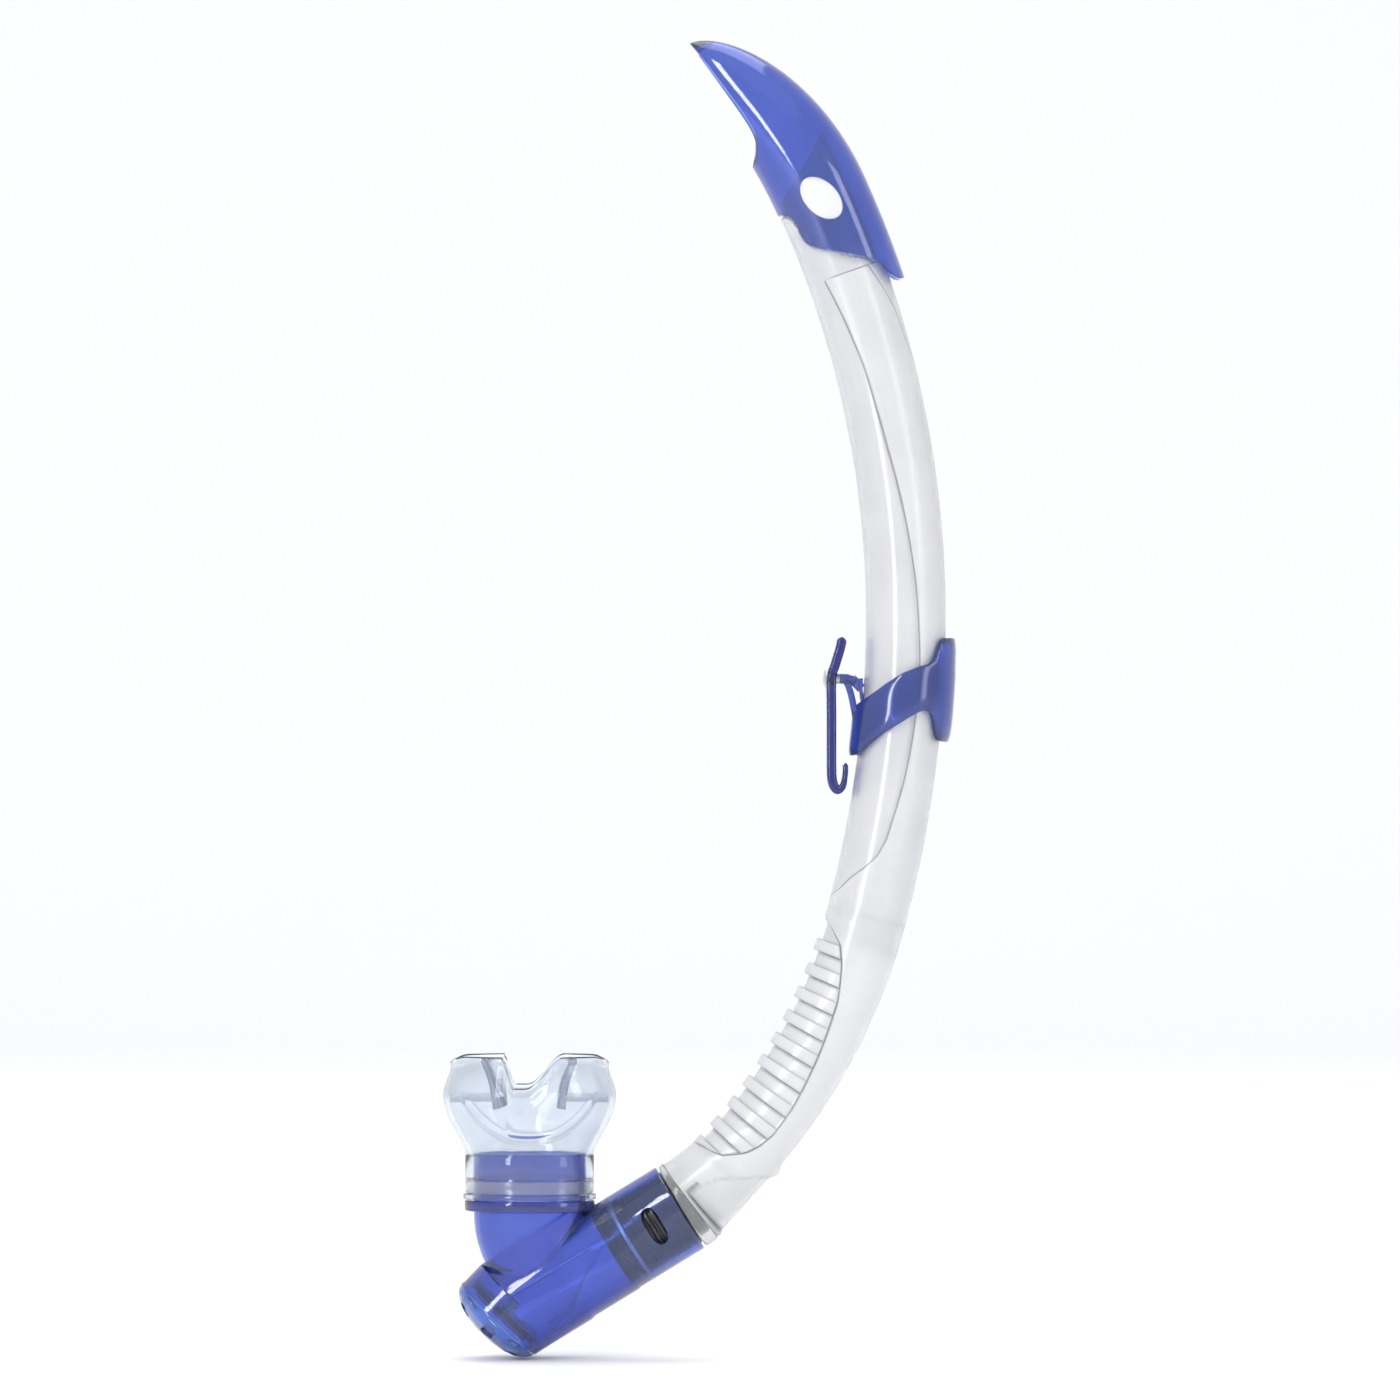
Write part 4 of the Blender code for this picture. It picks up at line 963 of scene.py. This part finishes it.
def tube_outline(places):
    """Points in XZ from places (distance, out)."""
    places = np.array(places, float)
    return ROUTE.point(places[:, 0], places[:, 1])[:, [0, 2]]


def button_matrix():
    origin = ROUTE.point(np.array(BUTTON[0]), BUTTON[1])
    long_axis = np.array([math.cos(BUTTON_TURN), 0.0, math.sin(BUTTON_TURN)])
    side = np.array([0.0, 1.0, 0.0])
    return origin, np.stack([long_axis, np.cross(side, long_axis), side])


def make_guard():
    """Horn-shaped cap: outer horn less inner horn, less what lies below its foot and before its intake."""
    low = np.linspace(294.0, GUARD_SHOULDER, 40)
    high = GUARD_SHOULDER + (GUARD_TIP - GUARD_SHOULDER) * np.sin(np.linspace(0, np.pi / 2, 60))
    rows = np.concatenate([low, high[1:]])
    guard = solid("guard_shell", guard_rings(rows, 0.0))
    hollow = solid("guard_hollow", guard_rings(rows[rows < 398.0] - 1.0, GUARD_WALL))
    foot = list(curve_through(GUARD_FOOT, 49)) + [(285.0, 40.0), (285.0, -40.0), (338.7, -40.0)]
    mouth = list(curve_through(INTAKE, 31)) + [(355.0, -50.0), (403.0, -50.0)]
    hole = oval_rod(
        "guard_button_hole",
        [(BUTTON_LENGTH + 0.25, BUTTON_WIDTH + 0.25, z, 0.0) for z in (-40.0, 40.0)],
        button_matrix(),
    )
    below_foot = slab("guard_foot", tube_outline(foot), 40.0)
    before_mouth = slab("guard_mouth", tube_outline(mouth), 40.0)
    tools = [hollow, below_foot, before_mouth, hole]
    finish(carve(guard, tools), paint("guard_blue"), "barrel", ["splash_guard"], sharp=40.0)


def make_buttons():
    """Oval snap lugs with a pillowed face: height falls off as the fourth power of the way to the edge."""
    for name, node, side in (
        ("guard_button_near", "snap_button_near", -1),
        ("guard_button_far", "snap_button_far", 1),
    ):
        reach = np.sin(np.linspace(0.0, np.pi / 2, 14))[::-1]
        face = 14.9 - 1.1 * reach**4
        rows = [(BUTTON_LENGTH * r, BUTTON_WIDTH * r, side * (h - 0.1), 0.0) for r, h in zip(reach, face)]
        foot = [(BUTTON_LENGTH, BUTTON_WIDTH, side * (SHOULDER_RADIUS + 0.35), 0.0)]
        button = oval_rod(name, foot + [row for row in rows if row[0] > 0.01], button_matrix())
        finish(button, paint("clear_button"), "barrel", [node])


# Swivel

SPIGOT_RADIUS = 12.7
SPIGOT_BORE = 8.8
SPIGOT_LENGTH = 26.0
PLUG_RADIUS = 10.9
PLUG_LENGTH = 7.0
RIDGE_STARTS = (2.5, 4.7, 6.9, 9.1, 11.3)
RIDGE_WIDTH = 1.1
RIDGE_DEPTH = 0.7
SEAL_PLACES = (15.5, 23.5)
SNAP_PLACE = 19.5


def make_swivel():
    """Black spigot turned from its stepped profile, with its two seals and its split snap ring."""
    profile = [(SPIGOT_BORE, PLUG_LENGTH), (PLUG_RADIUS, PLUG_LENGTH)]
    profile += [(PLUG_RADIUS, -GAP), (SPIGOT_RADIUS, -GAP)]
    for start in RIDGE_STARTS:
        floor = SPIGOT_RADIUS - RIDGE_DEPTH
        profile += [(SPIGOT_RADIUS, -start), (floor, -start - 0.2)]
        profile += [(floor, -start - RIDGE_WIDTH + 0.2), (SPIGOT_RADIUS, -start - RIDGE_WIDTH)]
    for place, width in ((SEAL_PLACES[0], 1.8), (SNAP_PLACE, 1.6), (SEAL_PLACES[1], 1.8)):
        high, low = -place + width / 2 + 0.3, -place - width / 2 - 0.3
        floor = SPIGOT_RADIUS - 1.4
        profile += [(SPIGOT_RADIUS, high), (floor, high), (floor, low), (SPIGOT_RADIUS, low)]
    profile += [(SPIGOT_RADIUS, -SPIGOT_LENGTH), (SPIGOT_BORE, -SPIGOT_LENGTH)]
    spigot = turned("spigot_core", rounded(profile, 0.18, 3), SWIVEL)
    finish(spigot, paint("spigot_black"), "lower_tube", ["swivel_spigot"])
    for name, node, place in (
        ("seal_ring_upper", "spigot_seal_upper", SEAL_PLACES[0]),
        ("seal_ring_lower", "spigot_seal_lower", SEAL_PLACES[1]),
    ):
        turn = np.arange(16) * 2 * np.pi / 16
        section = np.stack([12.15 + 0.5 * np.cos(turn), -place + 0.88 * np.sin(turn)], -1)
        finish(turned(name, section, SWIVEL), paint("ring_rubber"), "lower_tube", [node])
    gap = 0.24
    angle = np.linspace(gap, 2 * np.pi - gap, 96)
    outline = rounded([(11.6, -18.7), (13.6, -18.7), (13.6, -20.3), (11.6, -20.3)], 0.35)
    rings = np.stack(
        [
            outline[:, 0] * np.cos(angle)[:, None],
            outline[:, 0] * np.sin(angle)[:, None],
            outline[:, 1] + 0 * angle[:, None],
        ],
        -1,
    )
    ring = solid("snap_ring_wire", to_world(rings, SWIVEL))
    finish(ring, paint("pin_steel"), "lower_tube", ["swivel_snap_ring"])


# Chamber and purge valve

PORT_X = SWIVEL[0][0] - 47.6
PORT_HALF_WIDTH = 17.5
PORT_HALF_DEPTH = 12.5
PORT_WALL = 1.8
PORT_TOP = SWIVEL[0][2] + 17.1
FLANGE_TOP = SWIVEL[0][2] + 2.1
BODY_RADIUS = 15.5
END_RADIUS = 15.7
NECK_BORE = 13.0
TILT = math.atan2(SWIVEL[1][2][2], SWIVEL[1][2][0])


def upright(x=0.0, z=0.0):
    return np.array([x, 0.0, z]), np.eye(3)


def axis_height(x):
    """Height of the neck's axis over a place along X."""
    return SWIVEL[0][2] + (x - SWIVEL[0][0]) * math.tan(TILT)


def port_rows(grow, low, high, taper=2.3):
    """Ovals of the elbow: its left side draws in as the square of the depth below the flange."""
    z = np.linspace(low, high, 14)
    drop = np.clip((FLANGE_TOP - 5.0 - z) / 12.0, 0.0, 1.6) ** 2 * taper
    return [(PORT_HALF_WIDTH + grow - d / 2, PORT_HALF_DEPTH + grow, h, d / 2) for d, h in zip(drop, z)]


def trimmer(name, height, tilt, place):
    """A large block on the upper side of a slanted plane, at a height over a place."""
    along = np.array([math.cos(tilt), math.sin(tilt)])
    up = np.array([-math.sin(tilt), math.cos(tilt)])
    origin = np.asarray(place) + height * up
    outline = [origin - 90 * along, origin + 90 * along]
    outline += [origin + 90 * along + 90 * up, origin - 90 * along + 90 * up]
    return slab(name, outline, 60.0)


def make_chamber():
    """Neck, body, elbow, flange and collar joined, then bored through: a stepped tube at the swivel's tilt
    with an upright oval port."""
    steps = [
        (14.55, -0.6),
        (14.8, -1.0),
        (14.8, -24.0),
        (15.1, -24.6),
        (15.1, -40.6),
        (BODY_RADIUS, -42.2),
        (BODY_RADIUS, -CHAMBER_LENGTH - 20.0),
    ]
    body = turned("chamber_shell", steps, SWIVEL, closed=False)
    end_side = to_world(np.array([[0.0, 0.0, 0.0]]), END)[0]
    core = axis_height(PORT_X)
    elbow = oval_rod("elbow", port_rows(0.0, core, PORT_TOP), upright(PORT_X))
    lip = [(0.0, FLANGE_TOP - 3.6), (2.9, FLANGE_TOP - 3.2), (2.9, FLANGE_TOP), (0.0, FLANGE_TOP)]
    lip = rounded(lip, 0.5)
    lip = [(PORT_HALF_WIDTH + g, PORT_HALF_DEPTH + g, z, 0.0) for g, z in lip if g > 0.01]
    flange = oval_rod("flange", lip, upright(PORT_X))
    collar = oval_rod("collar", port_rows(1.0, core, FLANGE_TOP - 2.0, 2.0), upright(PORT_X))
    trim = trimmer("collar_trim", 17.4, TILT, (SWIVEL[0][0], SWIVEL[0][2]))
    collar = carve(collar, [trim])
    end_ring = turned(
        "end_ring", [(END_RADIUS - 0.3, -9.0), (END_RADIUS, -8.6), (END_RADIUS, 0.0)], END, closed=False
    )
    body = carve(body, [elbow, flange, collar, end_ring], "UNION")
    away = END[1][2]
    outline = [end_side + 60 * END[1][0], end_side - 60 * END[1][0]]
    outline += [outline[1] + 60 * away, outline[0] + 60 * away]
    end_trim = slab("end_trim", [(p[0], p[2]) for p in outline], 60.0)
    neck_hole = [(NECK_BORE, 10.0), (NECK_BORE, 6.0 - CHAMBER_LENGTH)]
    neck_bore = turned("neck_bore", neck_hole, SWIVEL, closed=False)
    end_bore = turned("end_bore", [(13.6, 10.0), (13.6, -8.5)], END, closed=False)
    port_bore = oval_rod("port_bore", port_rows(-PORT_WALL, core, PORT_TOP + 10.0), upright(PORT_X))
    window = to_world(np.array([0.0, 0.0, -10.0]), SWIVEL), SWIVEL[1][[2, 0, 1]]
    window_hole = oval_rod("window_hole", [(2.7, 6.25, z, 0.0) for z in (-40.0, 40.0)], window, 48, 2.6)
    carve(body, [end_trim, neck_bore, end_bore, port_bore, window_hole])
    finish(body, paint("chamber_blue"), "mouth_unit", ["chamber"], sharp=30.0)


def make_mould_lines():
    """Raised parting line along the chamber and the slanted line that meets it, on both sides."""
    for side in (-1, 1):
        parting = curve_through([(-66.5, 4.6), (-50.0, 4.5), (-30.5, 4.4)], 30)
        slant = curve_through([(-29.0, 3.4), (-40.0, -4.5), (-47.0, -9.6), (-56.0, -11.8)], 40)
        runs = (("parting_line", parting, 0.6), ("slant_line", slant, 0.5))
        for name, run, thick in runs:
            along, up = run.T
            radius = np.where(along < -41.5, BODY_RADIUS, 15.1)
            turn = np.arange(8) * 2 * np.pi / 8
            spin = np.arcsin(np.clip((up[:, None] + thick / 2 * np.cos(turn)) / radius[:, None], -1, 1))
            out = radius[:, None] + thick / 2 * np.sin(turn)
            rings = np.stack([-out * np.sin(spin), side * out * np.cos(spin), along[:, None] + 0 * turn], -1)
            line = solid(f"{name}_{'near' if side < 0 else 'far'}", to_world(rings, SWIVEL))
            finish(line, paint("chamber_blue"), "mouth_unit")


def make_cover():
    """Domed cap: an elliptic shell with six slots round it."""
    angle = np.linspace(0, np.pi / 2, 24)
    outside = np.stack([15.7 * np.sin(angle), 0.3 + 6.6 * np.cos(angle)], -1)
    inside = np.stack([14.1 * np.sin(angle), 0.3 + 5.0 * np.cos(angle)], -1)[::-1]
    cover = turned("purge_cap", np.concatenate([outside[1:], inside[:-1]]), END, closed=False)
    slots = []
    for k in range(6):
        turn = (k + 0.5) * np.pi / 3
        cosine, sine = math.cos(turn), math.sin(turn)
        spin = np.array([[cosine, sine, 0], [-sine, cosine, 0], [0, 0, 1]])
        matrix = END[0], spin @ END[1]
        slots.append(oval_rod(f"cap_slot_{k}", [(2.4, 2.2, z, 11.0) for z in (0.9, 14.0)], matrix, 32, 3.0))
    carve(cover, slots)
    finish(cover, paint("cover_blue"), "mouth_unit", ["purge_cover"])


def dress_valve():
    """New finishes for the valve seat and the valve disc, whose shapes stay."""
    for node, kind in (("purge_valve_seat", "seat_blue"), ("purge_valve_disc", "disc_silicone")):
        piece = frame["nodes"][node]
        piece.data.materials.clear()
        piece.data.materials.append(paint(kind))


# Mouthpiece

SLEEVE_TOP = SWIVEL[0][2] + 17.5
RIM_TOP = SWIVEL[0][2] + 47.9
NOTCH_BOTTOM = SWIVEL[0][2] + 36.9
BODY_HALF_WIDTH = 27.1
BODY_HALF_DEPTH = 19.0
RIM_HALF_WIDTH = 24.4
RIM_HALF_DEPTH = 16.5
MOUTH_WALL = 2.2
FOOT_WALL = 2.7
TIE_GROOVE = 1.2
FOLD_LOW = SWIVEL[0][2] + 21.6
FOLD_RISE = 19.0


def rim_height(across):
    """Height of the rim against the place across the mouth: steep at one cheek, sloping at the other."""
    left = smooth(4.9, 8.4, -across)
    right = smooth(-1.0, 11.0, across)
    top = RIM_TOP - 1.4 - 1.2 * smooth(19.0, 24.5, np.abs(across)) ** 2
    return NOTCH_BOTTOM + (top - NOTCH_BOTTOM) * np.maximum(left, right)


def make_mouthpiece():
    """Silicone cup: an oval sleeve that swells into two cheeks and draws in at the rim. Half width is the
    sleeve's plus a sine swell less a smooth tuck; a raised fold runs round it in a U."""
    angle = np.arange(160) * 2 * np.pi / 160
    cosine, sine = np.cos(angle), np.sin(angle)
    sleeve_width, sleeve_depth = PORT_HALF_WIDTH + FOOT_WALL, PORT_HALF_DEPTH + FOOT_WALL
    foot = FLANGE_TOP + 0.3
    tie_low, tie_high = FLANGE_TOP + 2.1, FLANGE_TOP + 6.6
    outline = [
        (0.6, foot),
        (0.6, tie_low),
        (-TIE_GROOVE, tie_low),
        (-TIE_GROOVE, tie_high),
        (0.0, tie_high),
        (0.0, SLEEVE_TOP - 1.2),
        (-8.0, SLEEVE_TOP - 1.2),
    ]
    outline = rounded(outline, 0.3, 3)
    outline = outline[outline[:, 0] > -1.3]
    ring_rows = [
        np.stack([(sleeve_width + g) * cosine, (sleeve_depth + g) * sine, z + 0 * angle], -1)
        for g, z in outline
    ]
    share = np.linspace(0.0, 1.0, 46)[:, None]
    swell = np.sin(np.minimum(1.0, share / 0.62) * np.pi / 2) ** 1.25
    tuck = smooth(0.62, 1.0, share)
    width = sleeve_width + (BODY_HALF_WIDTH - sleeve_width) * swell
    width = width - (BODY_HALF_WIDTH - RIM_HALF_WIDTH) * tuck
    depth = sleeve_depth + (BODY_HALF_DEPTH - sleeve_depth) * swell
    depth = depth - (BODY_HALF_DEPTH - RIM_HALF_DEPTH) * tuck
    height = SLEEVE_TOP + share * (rim_height(RIM_HALF_WIDTH * cosine) - SLEEVE_TOP)
    across = width * cosine
    fold = FOLD_LOW + FOLD_RISE * np.abs(across / 24.0) ** 2.4
    fade = 1 - smooth(17.0, 23.0, np.abs(across))
    step = 0.35 * smooth(-0.5, 1.0, height - fold) * (1 - smooth(0.5, 0.9, share)) * fade
    ridge = 0.8 * hill(height - fold, 0.9) * fade + step
    bead = 0.45 * hill(share - 0.985, 0.035)
    grow = ridge + bead
    outer = np.stack([(width + grow) * cosine, (depth + grow) * sine, height], -1)
    wall = MOUTH_WALL - 0.4 * smooth(0.2, 0.6, share)
    inner = np.stack([(width - wall + bead) * cosine, (depth - wall + bead) * sine, height], -1)[::-1]
    lip = (outer[-1:] + inner[:1]) / 2 + np.array([0.0, 0.0, 0.8])
    port_rows_in = [
        np.stack([(PORT_HALF_WIDTH + 0.3) * cosine, (PORT_HALF_DEPTH + 0.3) * sine, z + 0 * angle], -1)
        for z in (PORT_TOP + 0.3, foot)
    ]
    inner = inner[:-4]
    rings = np.concatenate([np.array(ring_rows), outer, lip, inner, np.array(port_rows_in)])
    cup = ring_shell("mouth_cup", rings + np.array([PORT_X, 0.0, 0.0]))
    tabs = []
    for name, side in (("bite_tab_left", -1), ("bite_tab_right", 1)):
        places = [(9.8 * side, RIM_TOP - 17.0), (11.2 * side, RIM_TOP - 9.0), (13.6 * side, RIM_TOP - 1.8)]
        path = curve_through(places, 16) + np.array([PORT_X, 0.0])
        reach = np.array([(10.6 * side, RIM_TOP - 14.0), (24.4 * side, RIM_TOP - 14.0)])
        tabs.append(band(name, path, 2.6, 9.0, 1.2))
        tabs.append(band(name + "_web", reach + np.array([PORT_X, 0.0]), 2.4, 3.0, 1.0))
    carve(cup, tabs, "UNION")
    finish(cup, paint("cup_silicone"), "mouth_unit", ["mouthpiece"], sharp=45.0)


def make_tie():
    """Clamp band in the sleeve's groove, with its square head on the far side."""
    grow = FOOT_WALL - TIE_GROOVE + GAP
    low, high = FLANGE_TOP + 2.4, FLANGE_TOP + 6.3
    section = rounded([(0.0, low), (0.85, low), (0.85, high), (0.0, high)], 0.25, 3)
    angle = np.arange(128) * 2 * np.pi / 128
    width, depth = PORT_HALF_WIDTH + grow + section[:, :1], PORT_HALF_DEPTH + grow + section[:, :1]
    rings = np.stack([width * np.cos(angle) + PORT_X, depth * np.sin(angle), section[:, 1:] + 0 * angle], -1)
    tie = ring_shell("clamp_band", rings)
    back = PORT_HALF_DEPTH + grow + 0.4
    outline = rounded([(-3.0, low), (3.0, low), (3.0, high), (-3.0, high)], 0.5, 3) + np.array([PORT_X, 0.0])
    head = slab("clamp_head", outline, 1.6, 0.4, back + 1.6)
    carve(tie, [head], "UNION")
    finish(tie, paint("band_clear"), "mouth_unit", ["mouthpiece_tie"])


# Keeper and hook

KEEPER_LOW = (
    (-15.5, 158.6),
    (-13.3, 159.4),
    (-11.1, 162.2),
    (-6.8, 166.3),
    (-1.8, 169.9),
    (4.7, 174.3),
    (7.4, 175.4),
    (9.2, 174.6),
    (10.3, 172.8),
    (11.2, 169.4),
    (12.1, 166.4),
    (15.5, 166.2),
)
KEEPER_HIGH = (
    (-15.5, 175.0),
    (-12.8, 177.3),
    (-6.5, 182.6),
    (-1.1, 186.3),
    (4.4, 188.5),
    (7.8, 189.4),
    (9.6, 191.4),
    (10.8, 195.4),
    (11.7, 197.4),
    (15.5, 197.6),
)
KEEPER_WALL = 2.7
TAIL_RIDGES = (195.6, 192.0, 188.4)


def make_keeper():
    """Strap keeper: a band whose two edges sweep up towards the tail plate. Its width at each angle is read
    off the two edge tables; its section is a rounded rectangle."""
    angle = np.linspace(-np.pi, np.pi, 181)[:-1]
    out = 15.5 * np.cos(angle)
    low, high = table(KEEPER_LOW, out), table(KEEPER_HIGH, out)
    kernel = np.hanning(9) / np.hanning(9).sum()
    low, high = (
        np.convolve(np.concatenate([edge[-4:], edge, edge[:4]]), kernel, mode="valid") for edge in (low, high)
    )
    section = rounded([(0.0, 0.0), (1.0, 0.0), (1.0, 1.0), (0.0, 1.0)], 0.32, 5)
    fine = np.linspace(0.34, 0.66, 18)
    side = section[:, 0] > 0.999
    rows = [section[0]]
    outline = []
    for k in range(len(section)):
        outline.append(section[k])
        following = section[(k + 1) % len(section)]
        if side[k] and side[(k + 1) % len(section)] and following[1] - section[k][1] > 0.2:
            outline += [np.array([1.0, v]) for v in fine]
    section = np.array(outline)
    tail = smooth(9.0, 12.5, out)
    inner, outer = TUBE_RADIUS + GAP, TUBE_RADIUS + GAP + KEEPER_WALL
    s = low + (high - low) * section[:, 1:]
    ridge = tail * sum(hill(s - place, 0.55) for place in TAIL_RIDGES)
    radius = inner + (outer + 0.5 * tail - inner) * section[:, :1] - ridge * (section[:, :1] > 0.9)
    ring = ring_shell("keeper_band", ROUTE.wrap(s, angle + 0 * s, radius))
    x, z = HOOK_PIVOT[0], HOOK_PIVOT[2]
    arm = [(x + 1.3, z - 0.2), (x + 3.0, z - 0.8), (x + 4.4, z - 4.0)]
    arm += [(x + 5.6, z - 9.5), (x + 6.3, z - 14.0)]
    arm = curve_through(arm, 24)
    tab = curve_through([(x + 8.2, z - 7.5), (x + 7.7, z - 3.5), (x + 7.8, z + 0.2)], 12)
    boss = [(x + 1.2, z), (x + 2.0, z), (x + 3.4, z), (x + 5.6, z - 0.6), (x + 7.9, z - 3.0)]
    boss = band("keeper_boss", boss, 3.0, 4.0, 0.8)
    pieces = [band("keeper_arm", arm, 2.0, 4.6, 0.6), boss, band("keeper_tab", tab, 1.1, 4.2, 0.4)]
    carve(ring, pieces, "UNION")
    finish(ring, paint("strap_blue"), "keeper", ["keeper_ring"])


def make_hook():
    """Hook plate: a strip along a curve that leans back at the top and turns up behind the strap."""
    x, z = HOOK_PIVOT[0], HOOK_PIVOT[2]
    places = [
        (1.9, 13.0),
        (1.2, 9.5),
        (-0.3, 4.5),
        (-1.5, 0.0),
        (-1.5, -12.0),
        (-1.5, -24.0),
        (-1.3, -31.5),
        (0.2, -34.6),
        (2.0, -33.4),
        (2.75, -30.0),
        (2.9, -26.2),
    ]
    path = curve_through(places, 90) + np.array([x, z])
    share = np.linspace(0.0, 1.0, 90)
    thickness = 3.0 - 1.3 * smooth(0.62, 0.9, share)
    ends = np.minimum(share, 1 - share) * 90
    thickness = thickness * np.sqrt(np.clip(ends / 2.5, 0.06, 1.0))
    hook = band("hook_plate", path, thickness, 7.0, 1.1)
    hole_frame = HOOK_PIVOT, np.array([[0.0, 0.0, 1.0], [0.0, 1.0, 0.0], [1.0, 0.0, 0.0]])
    hole = oval_rod("hook_hole", [(1.9, 1.9, h, 0.0) for h in (-12.0, 12.0)], hole_frame, 32)
    carve(hook, [hole])
    finish(hook, paint("hook_blue"), "hook", ["strap_hook"])


def make_pin():
    """Pivot pin: a domed head and a plain shank."""
    axes = np.array([[0.0, 0.0, -1.0], [0.0, 1.0, 0.0], [1.0, 0.0, 0.0]])
    matrix = HOOK_PIVOT - np.array([3.0, 0.0, 0.0]), axes
    angle = np.linspace(0, np.pi / 2, 8)[1:]
    head = [(3.0 * math.sin(a), -0.3 - 0.75 * math.cos(a)) for a in angle]
    profile = head + [(2.9, -0.25), (1.6, -0.2), (1.6, 8.9), (1.3, 9.2)]
    pin = turned("pivot_pin", profile, matrix, closed=False)
    finish(pin, paint("pin_steel"), "keeper", ["hook_pivot_pin"])


# Stage


def make_stage():
    """Floor that curves up into a backdrop: a quarter circle between a flat floor and an upright wall."""
    middle = (CAD_BOX[0][0] + CAD_BOX[1][0]) / 2
    turn = np.linspace(0, np.pi / 2, 24)
    radius, depth = 0.9, 2.2
    profile = [(-6.0, 0.0), (depth, 0.0)]
    profile += [(depth + radius * math.sin(a), radius - radius * math.cos(a)) for a in turn]
    profile += [(depth + radius, 5.0)]
    profile = np.array(profile)
    x = np.linspace(-5.0, 5.0, 12)
    floor = CAD_BOX[0][2] - 0.0005
    points = np.stack(
        [x[None] + middle + 0 * profile[:, :1], profile[:, :1] + 0 * x, profile[:, 1:] + floor + 0 * x], -1
    )
    mesh = bpy.data.meshes.new("sweep")
    mesh.from_pydata(points.reshape(-1, 3).tolist(), [], grid_faces(*points.shape[:2]).tolist())
    sweep = link("sweep", mesh)
    mesh.materials.append(paint("stage_paper"))
    mesh.shade_smooth()


def add_light(name, place, target, size, energy):
    """A soft rectangular light at a place, turned to its target."""
    data = bpy.data.lights.new(name, "AREA")
    data.shape = "RECTANGLE"
    data.size, data.size_y = size
    data.energy = energy
    light = bpy.data.objects.new(name, data)
    bpy.context.scene.collection.objects.link(light)
    light.location = place
    light.rotation_euler = (Vector(target) - Vector(place)).to_track_quat("-Z", "Y").to_euler()


def make_lights():
    """Key, fill and top light, and an even sky."""
    middle = (0.0, 0.0, 0.2)
    add_light("key", (-0.9, -1.5, 0.8), middle, (0.22, 1.5), 16.0)
    add_light("fill", (1.5, -1.3, 0.5), middle, (0.4, 1.6), 8.0)
    add_light("top", (0.0, 0.3, 1.9), middle, (1.5, 1.5), 16.0)
    world = bpy.data.worlds.new("studio")
    bpy.context.scene.world = world
    world.use_nodes = True
    background = world.node_tree.nodes["Background"]
    background.inputs["Color"].default_value = (0.96, 0.97, 1.0, 1.0)
    background.inputs["Strength"].default_value = 0.95


def make_camera():
    """Level view along +Y, with the frame 437.5 mm high at the object."""
    view_height, lens, sensor = 0.4375, 200.0, 36.0
    data = bpy.data.cameras.new("camera")
    data.lens = lens
    data.sensor_width = sensor
    camera = bpy.data.objects.new("camera", data)
    bpy.context.scene.collection.objects.link(camera)
    camera.location = (-0.00034, -view_height * lens / sensor, 0.2044)
    camera.rotation_euler = (math.pi / 2, 0.0, 0.0)
    bpy.context.scene.camera = camera
    bpy.context.scene.view_settings.view_transform = "Standard"


# Operators and panel


def operator(name, label, text, *makers):
    """An Operator class that runs the makers in order."""

    def execute(self, context):
        for maker in makers:
            maker()
        return {"FINISHED"}

    members = {
        "__doc__": text,
        "bl_idname": "snorkel." + name,
        "bl_label": label,
        "bl_options": {"UNDO"},
        "execute": execute,
    }
    return type("SNORKEL_OT_" + name, (Operator,), members)


OPERATORS = (
    operator("stage", "Stage", "Adds floor, lights and camera.", make_camera, make_stage, make_lights),
    operator("barrel", "Barrel", "Builds the hard clear tube.", make_barrel),
    operator("sleeve", "Sleeve and cuff", "Builds the soft sleeve and the cuff.", make_sleeve, make_cuff),
    operator("guard", "Splash guard", "Builds the guard and its two buttons.", make_guard, make_buttons),
    operator("swivel", "Swivel", "Builds the spigot, its seals and its snap ring.", make_swivel),
    operator("chamber", "Chamber", "Builds the chamber and its mould lines.", make_chamber, make_mould_lines),
    operator("valve", "Purge valve", "Builds the purge cap and finishes the valve.", make_cover, dress_valve),
    operator("mouth", "Mouthpiece", "Builds the mouthpiece and its clamp band.", make_mouthpiece, make_tie),
    operator("keeper", "Keeper and hook", "Builds keeper, hook and pin.", make_keeper, make_hook, make_pin),
)


class SNORKEL_PT_panel(Panel):
    """Lists the snorkel's sizes, colours and pieces."""

    bl_idname = "SNORKEL_PT_panel"
    bl_label = "Snorkel"
    bl_space_type = "VIEW_3D"
    bl_region_type = "UI"
    bl_category = "Snorkel"

    def draw(self, context):
        for group in (context.scene.snorkel_sizes, context.scene.snorkel_colours):
            for name in group.__annotations__:
                self.layout.prop(group, name)
        for made in OPERATORS:
            self.layout.operator(made.bl_idname)


CLASSES = (SnorkelSizes, SnorkelColours, *OPERATORS, SNORKEL_PT_panel)


def register():
    for made in CLASSES:
        bpy.utils.register_class(made)
    bpy.types.Scene.snorkel_sizes = PointerProperty(type=SnorkelSizes)
    bpy.types.Scene.snorkel_colours = PointerProperty(type=SnorkelColours)


def unregister():
    del bpy.types.Scene.snorkel_sizes
    del bpy.types.Scene.snorkel_colours
    for made in reversed(CLASSES):
        bpy.utils.unregister_class(made)


def main():
    register()
    for made in OPERATORS:
        getattr(bpy.ops.snorkel, made.bl_idname.split(".")[1])()


if __name__ == "__main__":
    main()
